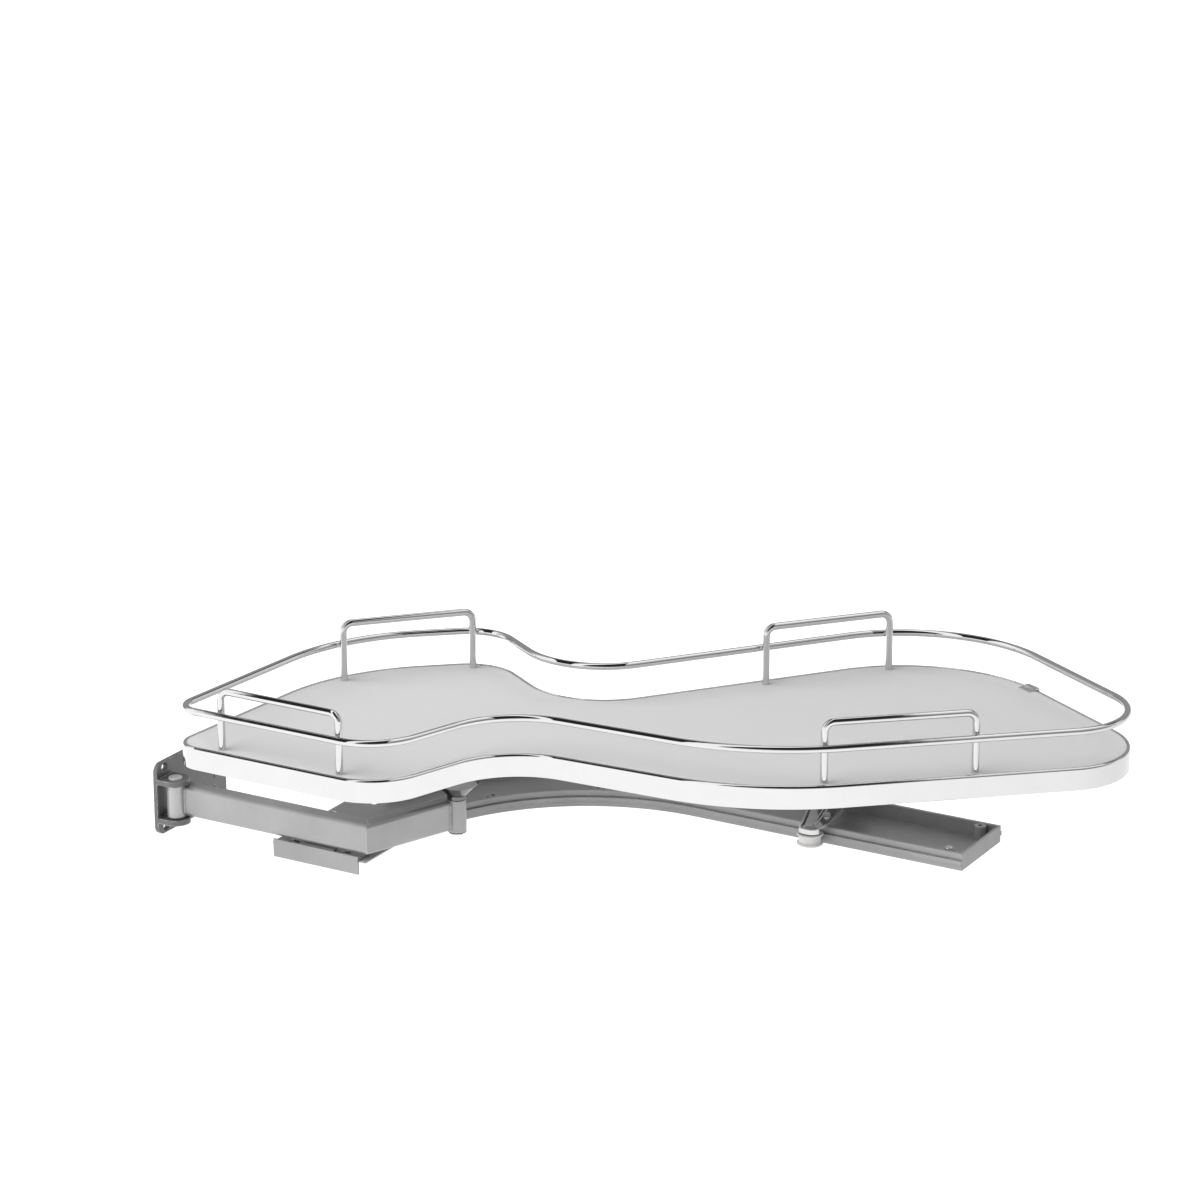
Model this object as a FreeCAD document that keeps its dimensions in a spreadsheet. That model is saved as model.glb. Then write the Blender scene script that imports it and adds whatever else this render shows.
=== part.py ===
"""Blind corner organizer: a kidney-shaped shelf on a swing arm and a curved floor track.

The arm turns on a pin in a wall bracket. The shelf turns on a post in the arm's far barrel and,
further in, stands on a small bridge whose two grooved rollers run on the ribs of the floor track.

Frame: millimetres, +Z up. The origin is the centre of the wall plate's four screw holes, on the
plate's back face. +X leads out of the wall along the cabinet's front, +Y leads into the cabinet.
Plan positions in the sheet are measured from the arm's pin, heights from the cabinet floor.
"""
import FreeCAD
import Part
import Sketcher
import math
import os

from FreeCAD import Placement, Rotation, Vector

SIZES = {
    # where the pin and the floor lie, seen from the wall plate's hole pattern
    "pin_from_wall": 16.0,
    "pin_ahead": 42.0,
    "floor_drop": 22.5,
    # wall bracket
    "plate_length": 110.0,
    "plate_height": 70.0,
    "plate_thickness": 4.0,
    "plate_corner": 9.0,
    "plate_hole_span_y": 84.0,
    "plate_hole_span_z": 58.0,
    "plate_hole_radius": 2.6,
    "countersink_depth": 2.2,
    "rear_pair_behind": 36.0,
    "rear_pair_drop": 10.0,
    "rear_pair_span": 11.5,
    "rear_pair_radius": 2.0,
    "lug_radius": 13.0,
    "lug_thickness": 4.8,
    # arm, its two barrels and their bushes
    "barrel_bottom": 6.0,
    "barrel_height": 31.0,
    "barrel_radius": 8.6,
    "barrel_bore": 6.4,
    "bush_flange": 0.8,
    "bush_length": 9.0,
    "pin_radius": 5.0,
    "running_clearance": 0.05,
    "seat_gap": 0.3,
    "pin_head_radius": 6.6,
    "pin_head_height": 1.6,
    "arm_bottom": 7.0,
    "arm_height": 29.5,
    "arm_sheet": 2.5,
    "arm_depth": 14.0,
    "arm_edge_radius": 4.0,
    "arm_corner_x": 210.0,
    "shelf_pivot_x": 245.0,
    "shelf_pivot_y": 98.0,
    "barrel_inset": 1.8,
    # shelf board: corner points of its outline with their radii, counterclockwise seen from above
    "front_left_x": 8.0,
    "front_left_y": -17.0,
    "front_left_radius": 24.0,
    "front_nose_x": 234.0,
    "front_nose_y": -17.0,
    "front_nose_radius": 61.0,
    "front_waist_x": 281.0,
    "front_waist_y": 124.0,
    "front_waist_radius": 83.0,
    "front_belly_x": 529.0,
    "front_belly_y": 137.0,
    "front_belly_radius": 244.0,
    "right_tip_x": 826.0,
    "right_tip_y": 398.0,
    "right_tip_radius": 70.0,
    "back_belly_x": 528.0,
    "back_belly_y": 583.0,
    "back_belly_radius": 144.0,
    "back_waist_x": 272.0,
    "back_waist_y": 250.0,
    "back_waist_radius": 76.0,
    "back_nose_x": 147.0,
    "back_nose_y": 332.0,
    "back_nose_radius": 53.0,
    "left_side_x": 28.0,
    "left_side_y": 232.0,
    "left_side_radius": 189.0,
    "board_top": 83.5,
    "board_thickness": 18.0,
    # edge band and the clip over its joint
    "band_thickness": 3.2,
    "band_height": 22.0,
    "band_rise": 1.0,
    "band_round": 2.8,
    "band_gap": 0.1,
    "clip_length": 17.0,
    "clip_thickness": 1.0,
    "clip_skirt": 7.0,
    "clip_foot": 7.0,
    "clip_x": 629.0,
    "clip_y": 516.0,
    # gallery rail and its four posts of bent wire
    "wire_radius": 3.5,
    "rail_inset": 4.0,
    "rail_height": 34.5,
    "weld_gap": 0.1,
    "post_height": 57.0,
    "post_bend": 9.0,
    "front_left_post_x": 58.0,
    "front_left_post_y": -6.0,
    "front_left_post_span": 128.0,
    "back_left_post_x": 44.5,
    "back_left_post_y": 213.0,
    "back_left_post_span": 128.0,
    "back_right_post_x": 402.0,
    "back_right_post_y": 404.0,
    "back_right_post_span": 128.0,
    "front_right_post_x": 572.5,
    "front_right_post_y": 191.5,
    "front_right_post_span": 140.0,
    # screws in the board
    "post_screw_radius": 1.5,
    "post_screw_engagement": 8.0,
    "board_screw_radius": 2.0,
    "board_screw_depth": 12.0,
    "screw_head_radius": 3.6,
    "screw_head_height": 2.2,
    "head_edge": 0.6,
    "screw_fit": 0.05,
    "pilot_spare": 1.0,
    # pivot flange and post under the shelf
    "pivot_plate_x": 232.7,
    "pivot_plate_y": 102.1,
    "pivot_flange_radius": 35.0,
    "pivot_cup_radius": 21.0,
    "pivot_funnel_rise": 11.6,
    "pivot_sheet": 2.0,
    "pivot_hole_circle": 29.5,
    "pivot_hole_turn": 162.0,
    "pivot_collar_radius": 9.4,
    "pivot_collar_height": 3.4,
    "pivot_ring_radius": 8.0,
    "pivot_ring_height": 1.2,
    "pivot_ring_mouth": 6.8,
    "post_tip": 1.2,
    "ring_groove": 0.8,
    # floor track
    "bend_x": 409.0,
    "track_front_y": 251.3,
    "bend_radius": 200.0,
    "track_width": 82.0,
    "track_end_x": 683.0,
    "front_wall_angle": 176.0,
    "back_wall_angle": 162.0,
    "track_sheet": 1.6,
    "track_wall": 2.4,
    "track_height": 16.0,
    "rib_drop": 6.3,
    "rib_height": 4.0,
    "rib_reach": 3.0,
    "rib_groove": 1.0,
    "wall_band_reach": 0.6,
    "track_left_x": 108.0,
    "track_flank_y": 125.0,
    "boss_radius": 5.5,
    "boss_height": 15.5,
    "boss_hole_radius": 2.2,
    "boss_inset": 7.2,
    "boss_end_distance": 17.0,
    "boss_angle_low": 145.0,
    "boss_angle_high": 117.0,
    "left_screw_x": 116.3,
    "left_screw_y": 85.7,
    "track_screw_radius": 2.0,
    "track_screw_reach": 12.0,
    # lip that hooks over the front edge of the cabinet floor
    "lip_left_x": 110.0,
    "lip_length": 92.0,
    "lip_face_y": -3.2,
    "lip_thickness": 2.0,
    "lip_rise": 5.5,
    "lip_drop": 11.5,
    "lip_foot": 18.0,
    "lip_tab_length": 36.0,
    "lip_tab_depth": 7.0,
    "rivet_inset": 18.0,
    "rivet_radius": 2.0,
    "rivet_head_radius": 3.6,
    "rivet_head_height": 1.2,
    # carriage that runs on the track
    "carriage_x": 536.5,
    "roller_waist": 10.0,
    "roller_flange": 12.2,
    "roller_height": 11.0,
    "roller_waist_height": 5.2,
    "roller_taper": 1.2,
    "roller_edge": 1.0,
    "roller_recess_radius": 7.0,
    "roller_recess_depth": 1.6,
    "axle_radius": 3.0,
    "axle_head_radius": 5.0,
    "axle_head_height": 1.4,
    "washer_radius": 7.5,
    "washer_height": 0.8,
    "bridge_sheet": 2.0,
    "bridge_end_radius": 9.5,
    "bridge_half_width": 21.0,
    "bridge_crown": 15.0,
    "bridge_crown_rise": 13.0,
    "bridge_flat_end": 6.0,
    "bridge_rim": 2.0,
    "bridge_rim_rise": 2.6,
    "bead_radius": 2.4,
    "swivel_radius": 6.0,
    "swivel_shoulder_radius": 9.0,
    "swivel_shoulder_height": 3.0,
    "swivel_rivet_radius": 4.0,
    "swivel_plate_radius": 28.0,
    "swivel_plate_thickness": 2.5,
    "swivel_hub_radius": 9.0,
    "swivel_hub_height": 3.5,
    "swivel_hole_circle": 20.0,
}

doc = FreeCAD.newDocument("blind_corner_organizer")
sheet = doc.addObject("Spreadsheet::Sheet", "sizes")
for row, (alias, amount) in enumerate(SIZES.items(), start=1):
    sheet.set(f"A{row}", alias)
    sheet.set(f"B{row}", str(amount))
    sheet.setAlias(f"B{row}", alias)
doc.recompute()

probe = doc.addObject("App::FeaturePython", "probe")
probe.addProperty("App::PropertyFloat", "Reading")
pieces = []


def size(alias):
    """One driving size, as a number."""
    return float(sheet.get(alias))


def reading(formula):
    """The present value of a formula of sheet cells, through a bound property."""
    probe.setExpression("Reading", formula)
    probe.recompute()
    return probe.Reading


# heights above the cabinet floor that several pieces share, as formulas of the sheet
BARREL_BOTTOM = "sizes.barrel_bottom"
BARREL_TOP = f"{BARREL_BOTTOM} + sizes.barrel_height"
STACK_BOTTOM = f"{BARREL_BOTTOM} - sizes.bush_flange"
STACK_TOP = f"{BARREL_TOP} + sizes.bush_flange"
LUG_UPPER = f"{STACK_TOP} + sizes.seat_gap"
LUG_LOWER = f"{STACK_BOTTOM} - sizes.seat_gap"
BOARD_BOTTOM = "sizes.board_top - sizes.board_thickness"
RIB_TOP = "sizes.track_height - sizes.rib_drop"
ROLLER_MIDDLE = f"{RIB_TOP} - sizes.rib_height / 2"
ROLLER_TOP = f"{ROLLER_MIDDLE} + sizes.roller_height / 2"
ROLLER_BOTTOM = f"{ROLLER_MIDDLE} - sizes.roller_height / 2"
BRIDGE_BOTTOM = f"{ROLLER_TOP} + sizes.seat_gap + sizes.washer_height"
BRIDGE_TOP = f"{BRIDGE_BOTTOM} + sizes.bridge_sheet"
CROWN_TOP = f"{BRIDGE_TOP} + sizes.bridge_crown_rise"
HUB_BOTTOM = f"{BOARD_BOTTOM} - sizes.swivel_plate_thickness - sizes.swivel_hub_height"

# plan positions, measured from the arm's pin
PIN = ("0", "0")
SHELF_PIVOT = ("sizes.shelf_pivot_x", "sizes.shelf_pivot_y")
PIVOT_PLATE = ("sizes.pivot_plate_x", "sizes.pivot_plate_y")
TRACK_MIDDLE = "sizes.track_front_y + sizes.track_width / 2"
ROLLER_OFFSET = (
    "sizes.track_width / 2 + sizes.rib_reach + sizes.roller_waist + sizes.seat_gap"
)
SWIVEL = ("sizes.carriage_x", TRACK_MIDDLE)
FRONT_ROLLER = ("sizes.carriage_x", f"{TRACK_MIDDLE} - ({ROLLER_OFFSET})")
BACK_ROLLER = ("sizes.carriage_x", f"{TRACK_MIDDLE} + ({ROLLER_OFFSET})")

# how far a cutting shape runs past what it cuts
PAST = 1.0
CORNERS = ((-1, -1), (1, -1), (1, 1), (-1, 1))


def set_down(piece, place, height):
    """Bind a piece to its place in plan and its height above the cabinet floor."""
    piece.setExpression("Placement.Base.x", f"sizes.pin_from_wall + {place[0]}")
    piece.setExpression("Placement.Base.y", f"{place[1]} - sizes.pin_ahead")
    piece.setExpression("Placement.Base.z", f"{height} - sizes.floor_drop")


def named(piece, label):
    """Give a finished sub-part its name and keep it for the checks and the export."""
    piece.Label = label
    pieces.append(piece)
    return piece


def turned(name, profile, place=PIN, height="0"):
    """A lathe part: a profile of (radius, height) formulas turned about its upright axis."""
    body = doc.addObject("PartDesign::Body", name)
    sketch = body.newObject("Sketcher::SketchObject", f"{name}_profile")
    planes = [plane for plane in body.Origin.OriginFeatures if plane.Role == "XZ_Plane"]
    sketch.AttachmentSupport = [(planes[0], "")]
    sketch.MapMode = "FlatFace"
    spots = [(reading(radius), reading(level)) for radius, level in profile]
    for start, end in zip(spots, spots[1:] + spots[:1]):
        sketch.addGeometry(Part.LineSegment(Vector(*start, 0), Vector(*end, 0)), False)
    for index in range(len(profile)):
        following = (index + 1) % len(profile)
        sketch.addConstraint(Sketcher.Constraint("Coincident", index, 2, following, 1))
    for index, (formulas, spot) in enumerate(zip(profile, spots)):
        for kind, formula, value in zip(("DistanceX", "DistanceY"), formulas, spot):
            rule = sketch.addConstraint(Sketcher.Constraint(kind, -1, 1, index, 1, value))
            sketch.setExpression(f"Constraints[{rule}]", formula)
    turn = body.newObject("PartDesign::Revolution", f"{name}_turn")
    turn.Profile = sketch
    turn.ReferenceAxis = (sketch, ["V_Axis"])
    turn.Angle = 360
    set_down(body, place, height)
    return body


def cylinder(name, radius, depth, place, height):
    """An upright Part cylinder bound to the sheet."""
    rod = doc.addObject("Part::Cylinder", name)
    rod.setExpression("Radius", radius)
    rod.setExpression("Height", depth)
    set_down(rod, place, height)
    return rod


def box(name, length, width, depth, place, height):
    """An upright Part box bound to the sheet; place is its low corner."""
    block = doc.addObject("Part::Box", name)
    block.setExpression("Length", length)
    block.setExpression("Width", width)
    block.setExpression("Height", depth)
    set_down(block, place, height)
    return block


def across(piece):
    """The same round piece laid along +X, out of the wall."""
    piece.Placement = Placement(Vector(), Rotation(Vector(0, 1, 0), 90))
    return piece


def cut(name, base, tools):
    """The base with every tool taken away from it."""
    if len(tools) == 1:
        tool = tools[0]
    else:
        tool = doc.addObject("Part::MultiFuse", f"{name}_tools")
        tool.Shapes = tools
    result = doc.addObject("Part::Cut", name)
    result.Base = base
    result.Tool = tool
    return result


def joined(name, shapes):
    """Several solids made one."""
    result = doc.addObject("Part::MultiFuse", name)
    result.Shapes = shapes
    result.Refine = True
    return result


def group(name, members):
    """Identical fasteners kept as one group of separate solids."""
    result = doc.addObject("Part::Compound", name)
    result.Links = members
    return result


def modelled(name, shape):
    """A shape worked out from the sheet's values, in plan from the pin and up from the floor."""
    feature = doc.addObject("Part::Feature", f"{name}_shape")
    feature.Shape = shape
    set_down(feature, PIN, "0")
    return named(feature, name)


def rounded_path(corners, closed=True):
    """Straight runs and tangent arcs through (point, radius) corners, as a list of edges."""
    count = len(corners)
    joints = []
    for index, (corner, radius) in enumerate(corners):
        if not closed and index in (0, count - 1):
            joints.append((corner, corner, None))
            continue
        before = (corner - corners[index - 1][0]).normalize()
        after = (corners[(index + 1) % count][0] - corner).normalize()
        half_turn = before.getAngle(after) / 2
        reach = radius * math.tan(half_turn)
        inward = (after - before).normalize()
        middle = corner + inward * (radius / math.cos(half_turn) - radius)
        joints.append((corner - before * reach, corner + after * reach, middle))
    edges = []
    last = count if closed else count - 1
    for index in range(last):
        start, end, middle = joints[index]
        if middle is not None:
            edges.append(Part.Arc(start, middle, end).toShape())
        ahead = joints[(index + 1) % count][0]
        if not ahead.isEqual(end, 1e-6):
            edges.append(Part.LineSegment(end, ahead).toShape())
    return edges


def moved_in(corners, inset):
    """The same corners for an outline that lies inside by inset; a hollow corner's arc grows."""
    count = len(corners)
    result = []
    for index, (corner, radius) in enumerate(corners):
        before = (corner - corners[index - 1][0]).normalize()
        after = (corners[(index + 1) % count][0] - corner).normalize()
        left_before = Vector(-before.y, before.x, 0)
        left_after = Vector(-after.y, after.x, 0)
        step = (left_before + left_after) * (inset / (1 + left_before.dot(left_after)))
        bulges = before.cross(after).z > 0
        result.append((corner + step, radius - inset if bulges else radius + inset))
    return result


def outline_edges(inset, height):
    """The shelf's outline, moved in by inset, at a height above the cabinet floor."""
    names = (
        "front_left", "front_nose", "front_waist", "front_belly", "right_tip",
        "back_belly", "back_waist", "back_nose", "left_side",
    )
    corners = [
        (Vector(size(f"{name}_x"), size(f"{name}_y"), height), size(f"{name}_radius"))
        for name in names
    ]
    return rounded_path(moved_in(corners, inset))


def slab(edges, depth):
    """A flat closed outline raised into a solid."""
    return Part.Face(Part.Wire(edges)).extrude(Vector(0, 0, depth))


def rod_along(edges, radius):
    """Round wire bent along straight runs and arcs."""
    runs = []
    for edge in edges:
        start = edge.valueAt(edge.FirstParameter)
        heading = edge.tangentAt(edge.FirstParameter)
        if isinstance(edge.Curve, Part.Line):
            runs.append(Part.makeCylinder(radius, edge.Length, start, heading))
            continue
        end_face = Part.Face(Part.Wire(Part.Circle(start, heading, radius).toShape()))
        turn = math.degrees(edge.LastParameter - edge.FirstParameter)
        runs.append(end_face.revolve(edge.Curve.Center, edge.Curve.Axis, turn))
    return runs[0].multiFuse(runs[1:]).removeSplitter()


def upright(radius, depth, spot):
    """A plain upright cylinder for holes and bosses in a modelled shape."""
    return Part.makeCylinder(radius, depth, spot)


def make_wall_bracket():
    """Screwed to the cabinet's side: a rounded plate with two lugs that hold the pin."""
    wall = "-sizes.pin_from_wall"
    low_y = "sizes.pin_ahead - sizes.plate_length / 2"
    low_z = "sizes.floor_drop - sizes.plate_height / 2"
    thickness = "sizes.plate_thickness"
    corner = "sizes.plate_corner"
    solids = [
        box(
            "plate_long", thickness, "sizes.plate_length", f"sizes.plate_height - 2 * {corner}",
            (wall, low_y), f"{low_z} + {corner}",
        ),
        box(
            "plate_tall", thickness, f"sizes.plate_length - 2 * {corner}", "sizes.plate_height",
            (wall, f"{low_y} + {corner}"), low_z,
        ),
    ]
    holes = []
    for index, (side_y, side_z) in enumerate(CORNERS, start=1):
        round_y = f"sizes.pin_ahead + {side_y} * (sizes.plate_length / 2 - {corner})"
        round_z = f"sizes.floor_drop + {side_z} * (sizes.plate_height / 2 - {corner})"
        solids.append(across(
            cylinder(f"plate_round_{index}", corner, thickness, (wall, round_y), round_z)
        ))
        hole_y = f"sizes.pin_ahead + {side_y} * sizes.plate_hole_span_y / 2"
        hole_z = f"sizes.floor_drop + {side_z} * sizes.plate_hole_span_z / 2"
        radius = "sizes.plate_hole_radius"
        holes.append(across(cylinder(f"plate_hole_{index}", radius, thickness, (wall, hole_y), hole_z)))
        holes.append(countersink(f"plate_sink_{index}", hole_y, hole_z))
    for index, side in enumerate((-1, 1), start=1):
        pair_y = "sizes.pin_ahead + sizes.rear_pair_behind"
        pair_z = f"sizes.floor_drop - sizes.rear_pair_drop + {side} * sizes.rear_pair_span / 2"
        radius = "sizes.rear_pair_radius"
        holes.append(across(cylinder(f"rear_hole_{index}", radius, thickness, (wall, pair_y), pair_z)))
    for name, height in (("upper", LUG_UPPER), ("lower", f"{LUG_LOWER} - sizes.lug_thickness")):
        solids.append(box(
            f"{name}_lug", f"sizes.pin_from_wall - {thickness}", "2 * sizes.lug_radius",
            "sizes.lug_thickness", (f"{wall} + {thickness}", "-sizes.lug_radius"), height,
        ))
        solids.append(cylinder(
            f"{name}_lug_end", "sizes.lug_radius", "sizes.lug_thickness", PIN, height,
        ))
    holes.append(cylinder(
        "lug_bore", "sizes.pin_radius + sizes.running_clearance", "sizes.plate_height", PIN, low_z,
    ))
    return named(cut("bracket_cut", joined("bracket_body", solids), holes), "wall_bracket")


def countersink(name, place_y, height):
    """The cone of a screw hole in the wall plate, open towards the cabinet."""
    cone = doc.addObject("Part::Cone", name)
    cone.setExpression("Radius1", "sizes.plate_hole_radius")
    cone.setExpression("Radius2", "sizes.plate_hole_radius + sizes.countersink_depth")
    cone.setExpression("Height", "sizes.countersink_depth")
    face = "sizes.plate_thickness - sizes.countersink_depth - sizes.pin_from_wall"
    set_down(cone, (face, place_y), height)
    return across(cone)


def arm_layers():
    """Corner points of the arm's outer face in plan: barrel, bend, barrel."""
    corner = Vector(size("arm_corner_x"), 0, 0)
    pivot = Vector(size("shelf_pivot_x"), size("shelf_pivot_y"), 0)
    span = (pivot - corner).Length
    lean = math.asin(size("barrel_inset") / span)
    heading = Rotation(Vector(0, 0, 1), -math.degrees(lean)).multVec((pivot - corner).normalize())
    return [Vector(0, 0, 0), corner, corner + heading * span * math.cos(lean)]


def arm_plate(width, depth, height):
    """A flat strip of the arm, from its outer face inwards by width, mitred at the bend."""
    start, corner, end = arm_layers()
    first = (corner - start).normalize()
    second = (end - corner).normalize()
    left_first = Vector(-first.y, first.x, 0)
    left_second = Vector(-second.y, second.x, 0)
    mitre = (left_first + left_second) * (width / (1 + left_first.dot(left_second)))
    lift = Vector(0, 0, height)
    points = [
        start, corner, end, end + left_second * width, corner + mitre, start + left_first * width,
    ]
    edges = [
        Part.LineSegment(here + lift, there + lift).toShape()
        for here, there in zip(points, points[1:] + points[:1])
    ]
    return slab(edges, depth)


def make_arm_beam():
    """Pressed channel, open to the inside, bent once and mitred; a barrel is welded to each end."""
    bottom = size("arm_bottom")
    tall = size("arm_height")
    skin = size("arm_sheet")
    block = arm_plate(size("arm_depth"), tall, bottom)
    outer = [edge for edge in block.Edges if is_level(edge) and on_outer_face(edge)]
    block = block.makeFillet(size("arm_edge_radius"), outer)
    inside = arm_plate(size("arm_depth") + PAST, tall - 2 * skin, bottom + skin)
    hollow = inside.cut(arm_plate(skin, tall, bottom))
    pivot = Vector(size("shelf_pivot_x"), size("shelf_pivot_y"), 0)
    room = size("barrel_radius") + size("weld_gap")
    ends = [upright(room, bottom + 2 * tall, spot) for spot in (Vector(0, 0, 0), pivot)]
    beam = block.cut([hollow] + ends)
    return modelled("swing_arm", max(beam.Solids, key=lambda solid: solid.Volume))


def is_level(edge):
    """Whether an edge lies at one height."""
    return edge.BoundBox.ZLength < 1e-6


def middle_of(edge):
    """The point halfway along an edge."""
    return edge.valueAt((edge.FirstParameter + edge.LastParameter) / 2)


def on_outer_face(edge):
    """Whether the middle of an edge lies on the arm's outer face, seen in plan."""
    start, corner, end = arm_layers()
    flat = Vector(middle_of(edge).x, middle_of(edge).y, 0)
    for here, there in ((start, corner), (corner, end)):
        if Part.LineSegment(here, there).toShape().distToShape(Part.Vertex(flat))[0] < 1e-4:
            return not (flat.isEqual(start, 1e-4) or flat.isEqual(end, 1e-4))
    return False


def bush(name, place, height, turned_over):
    """A flanged plastic bush pressed into a barrel's end."""
    outer = "sizes.barrel_bore - sizes.running_clearance"
    bore = "sizes.pin_radius + sizes.running_clearance"
    way = "-" if turned_over else ""
    profile = [
        (bore, f"{way}(-sizes.bush_length)"),
        (outer, f"{way}(-sizes.bush_length)"),
        (outer, "0"),
        ("sizes.barrel_radius", "0"),
        ("sizes.barrel_radius", f"{way}(sizes.bush_flange)"),
        (bore, f"{way}(sizes.bush_flange)"),
    ]
    return named(turned(name, profile, place, height), name)


def barrel(name, place):
    """Steel tube welded to the arm, bored for two bushes."""
    profile = [
        ("sizes.barrel_bore", "0"),
        ("sizes.barrel_radius", "0"),
        ("sizes.barrel_radius", "sizes.barrel_height"),
        ("sizes.barrel_bore", "sizes.barrel_height"),
    ]
    return named(turned(name, profile, place, BARREL_BOTTOM), name)


def fastener(name, place, height, shank_radius, shank_length, upward=True):
    """A pan-head screw whose head bears on the height given."""
    way = "" if upward else "-"
    other = "-" if upward else ""
    profile = [
        ("0", f"{other}(sizes.screw_head_height)"),
        ("sizes.screw_head_radius - sizes.head_edge", f"{other}(sizes.screw_head_height)"),
        ("sizes.screw_head_radius", f"{other}(sizes.screw_head_height - sizes.head_edge)"),
        ("sizes.screw_head_radius", "0"),
        (shank_radius, "0"),
        (shank_radius, f"{way}({shank_length})"),
        ("0", f"{way}({shank_length})"),
    ]
    return turned(name, profile, place, height)


def ring_of(centre, radius, count, start_angle):
    """Places spread evenly on a circle about a centre, as pairs of formulas."""
    angles = [start_angle + 360 / count * index for index in range(count)]
    return [
        (f"{centre[0]} + {radius} * cos({angle})", f"{centre[1]} + {radius} * sin({angle})")
        for angle in angles
    ]


def leg_places():
    """Both feet of each gallery post: on one line inside the rail, its span apart."""
    inset = size("rail_inset") + 2 * size("wire_radius") + size("weld_gap")
    path = outline_edges(inset, 0)
    feet = {}
    for name in ("front_left", "back_left", "back_right", "front_right"):
        first = nearest_on(path, Vector(size(f"{name}_post_x"), size(f"{name}_post_y"), 0))
        reach = Part.Circle(first, Vector(0, 0, 1), size(f"{name}_post_span")).toShape()
        ends = [vertex.Point for vertex in Part.Wire(path).section(reach).Vertexes]
        feet[name] = (first, max(ends, key=lambda spot: spot.x))
    return feet


def make_post(name, feet):
    """An upright loop of wire: two legs and a bar, drilled from below for its screws."""
    low = size("board_top")
    high = low + size("post_height")
    bend = size("post_bend")
    corners = [
        (feet[0] + Vector(0, 0, low), 0),
        (feet[0] + Vector(0, 0, high), bend),
        (feet[1] + Vector(0, 0, high), bend),
        (feet[1] + Vector(0, 0, low), 0),
    ]
    loop = rod_along(rounded_path(corners, closed=False), size("wire_radius"))
    radius = size("post_screw_radius") + size("screw_fit")
    depth = size("post_screw_engagement") + size("pilot_spare")
    holes = [upright(radius, depth, foot + Vector(0, 0, low)) for foot in feet]
    return modelled(name, loop.cut(holes))


def make_board(feet, pilot_places):
    """Laminated board, drilled through for the post screws and from below for the others."""
    thickness = size("board_thickness")
    low = Vector(0, 0, size("board_top") - thickness)
    board = slab(outline_edges(size("band_thickness") + size("band_gap"), low.z), thickness)
    radius = size("post_screw_radius") + size("screw_fit")
    holes = [upright(radius, thickness, foot + low) for pair in feet.values() for foot in pair]
    radius = size("board_screw_radius") + size("screw_fit")
    depth = size("board_screw_depth") + size("pilot_spare") - size("pivot_sheet")
    for place in pilot_places:
        spot = Vector(reading(place[0]), reading(place[1]), 0)
        holes.append(upright(radius, depth, spot + low))
    return modelled("shelf_board", board.cut(holes))


def make_edge_band():
    """Bright edge profile round the board, standing a little proud with a rounded upper lip."""
    tall = size("band_height")
    low = size("board_top") + size("band_rise") - tall
    rim = Part.Wire(outline_edges(0, low + tall))
    band = slab(outline_edges(0, low), tall).cut(slab(outline_edges(size("band_thickness"), low), tall))
    lip = [
        edge for edge in band.Edges
        if is_level(edge) and rim.distToShape(Part.Vertex(middle_of(edge)))[0] < 1e-3
    ]
    return modelled("edge_band", band.makeFillet(size("band_round"), lip))


def nearest_on(edges, point):
    """The point of a closed outline that lies nearest to a point, seen in plan."""
    spot = Part.Wire(edges).distToShape(Part.Vertex(point))[1][0][0]
    return Vector(spot.x, spot.y, 0)


def rim_strip(near, far, low, high):
    """The part of the shelf's rim between two distances from its outline and two heights."""
    tall = high - low
    return slab(outline_edges(near, low), tall).cut(slab(outline_edges(far, low), tall))


def make_band_clip():
    """Small bright clip bent over the band's joint at the back of the shelf."""
    skin = size("clip_thickness")
    gap = size("band_gap")
    inner = size("band_thickness") + 2 * gap
    board = size("board_top")
    top = board + size("band_rise") + gap
    foot = inner + skin + size("clip_foot")
    solids = [
        rim_strip(-gap - skin, -gap, top - size("clip_skirt"), top + skin),
        rim_strip(-gap - skin, inner + skin, top, top + skin),
        rim_strip(inner, inner + skin, board, top + skin),
        rim_strip(inner, foot, board, board + skin),
    ]
    middle = nearest_on(outline_edges(0, 0), Vector(size("clip_x"), size("clip_y"), 0))
    inward = (nearest_on(outline_edges(size("clip_foot"), 0), middle) - middle).normalize()
    along = Vector(inward.y, -inward.x, 0) * (size("clip_length") / 2)
    low = middle + Vector(0, 0, top - size("clip_skirt"))
    corners = [
        low + along - inward * (gap + skin + PAST), low + along + inward * (foot + PAST),
        low - along + inward * (foot + PAST), low - along - inward * (gap + skin + PAST),
    ]
    edges = [
        Part.LineSegment(here, there).toShape()
        for here, there in zip(corners, corners[1:] + corners[:1])
    ]
    window = slab(edges, size("clip_skirt") + 2 * skin)
    clip = solids[0].multiFuse(solids[1:]).common(window)
    return modelled("band_clip", clip.removeSplitter())


def make_rail():
    """Closed loop of wire that follows the shelf's outline, welded to the outside of the legs."""
    height = size("board_top") + size("rail_height")
    loop = rod_along(outline_edges(size("rail_inset"), height), size("wire_radius"))
    return modelled("gallery_rail", loop)


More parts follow.
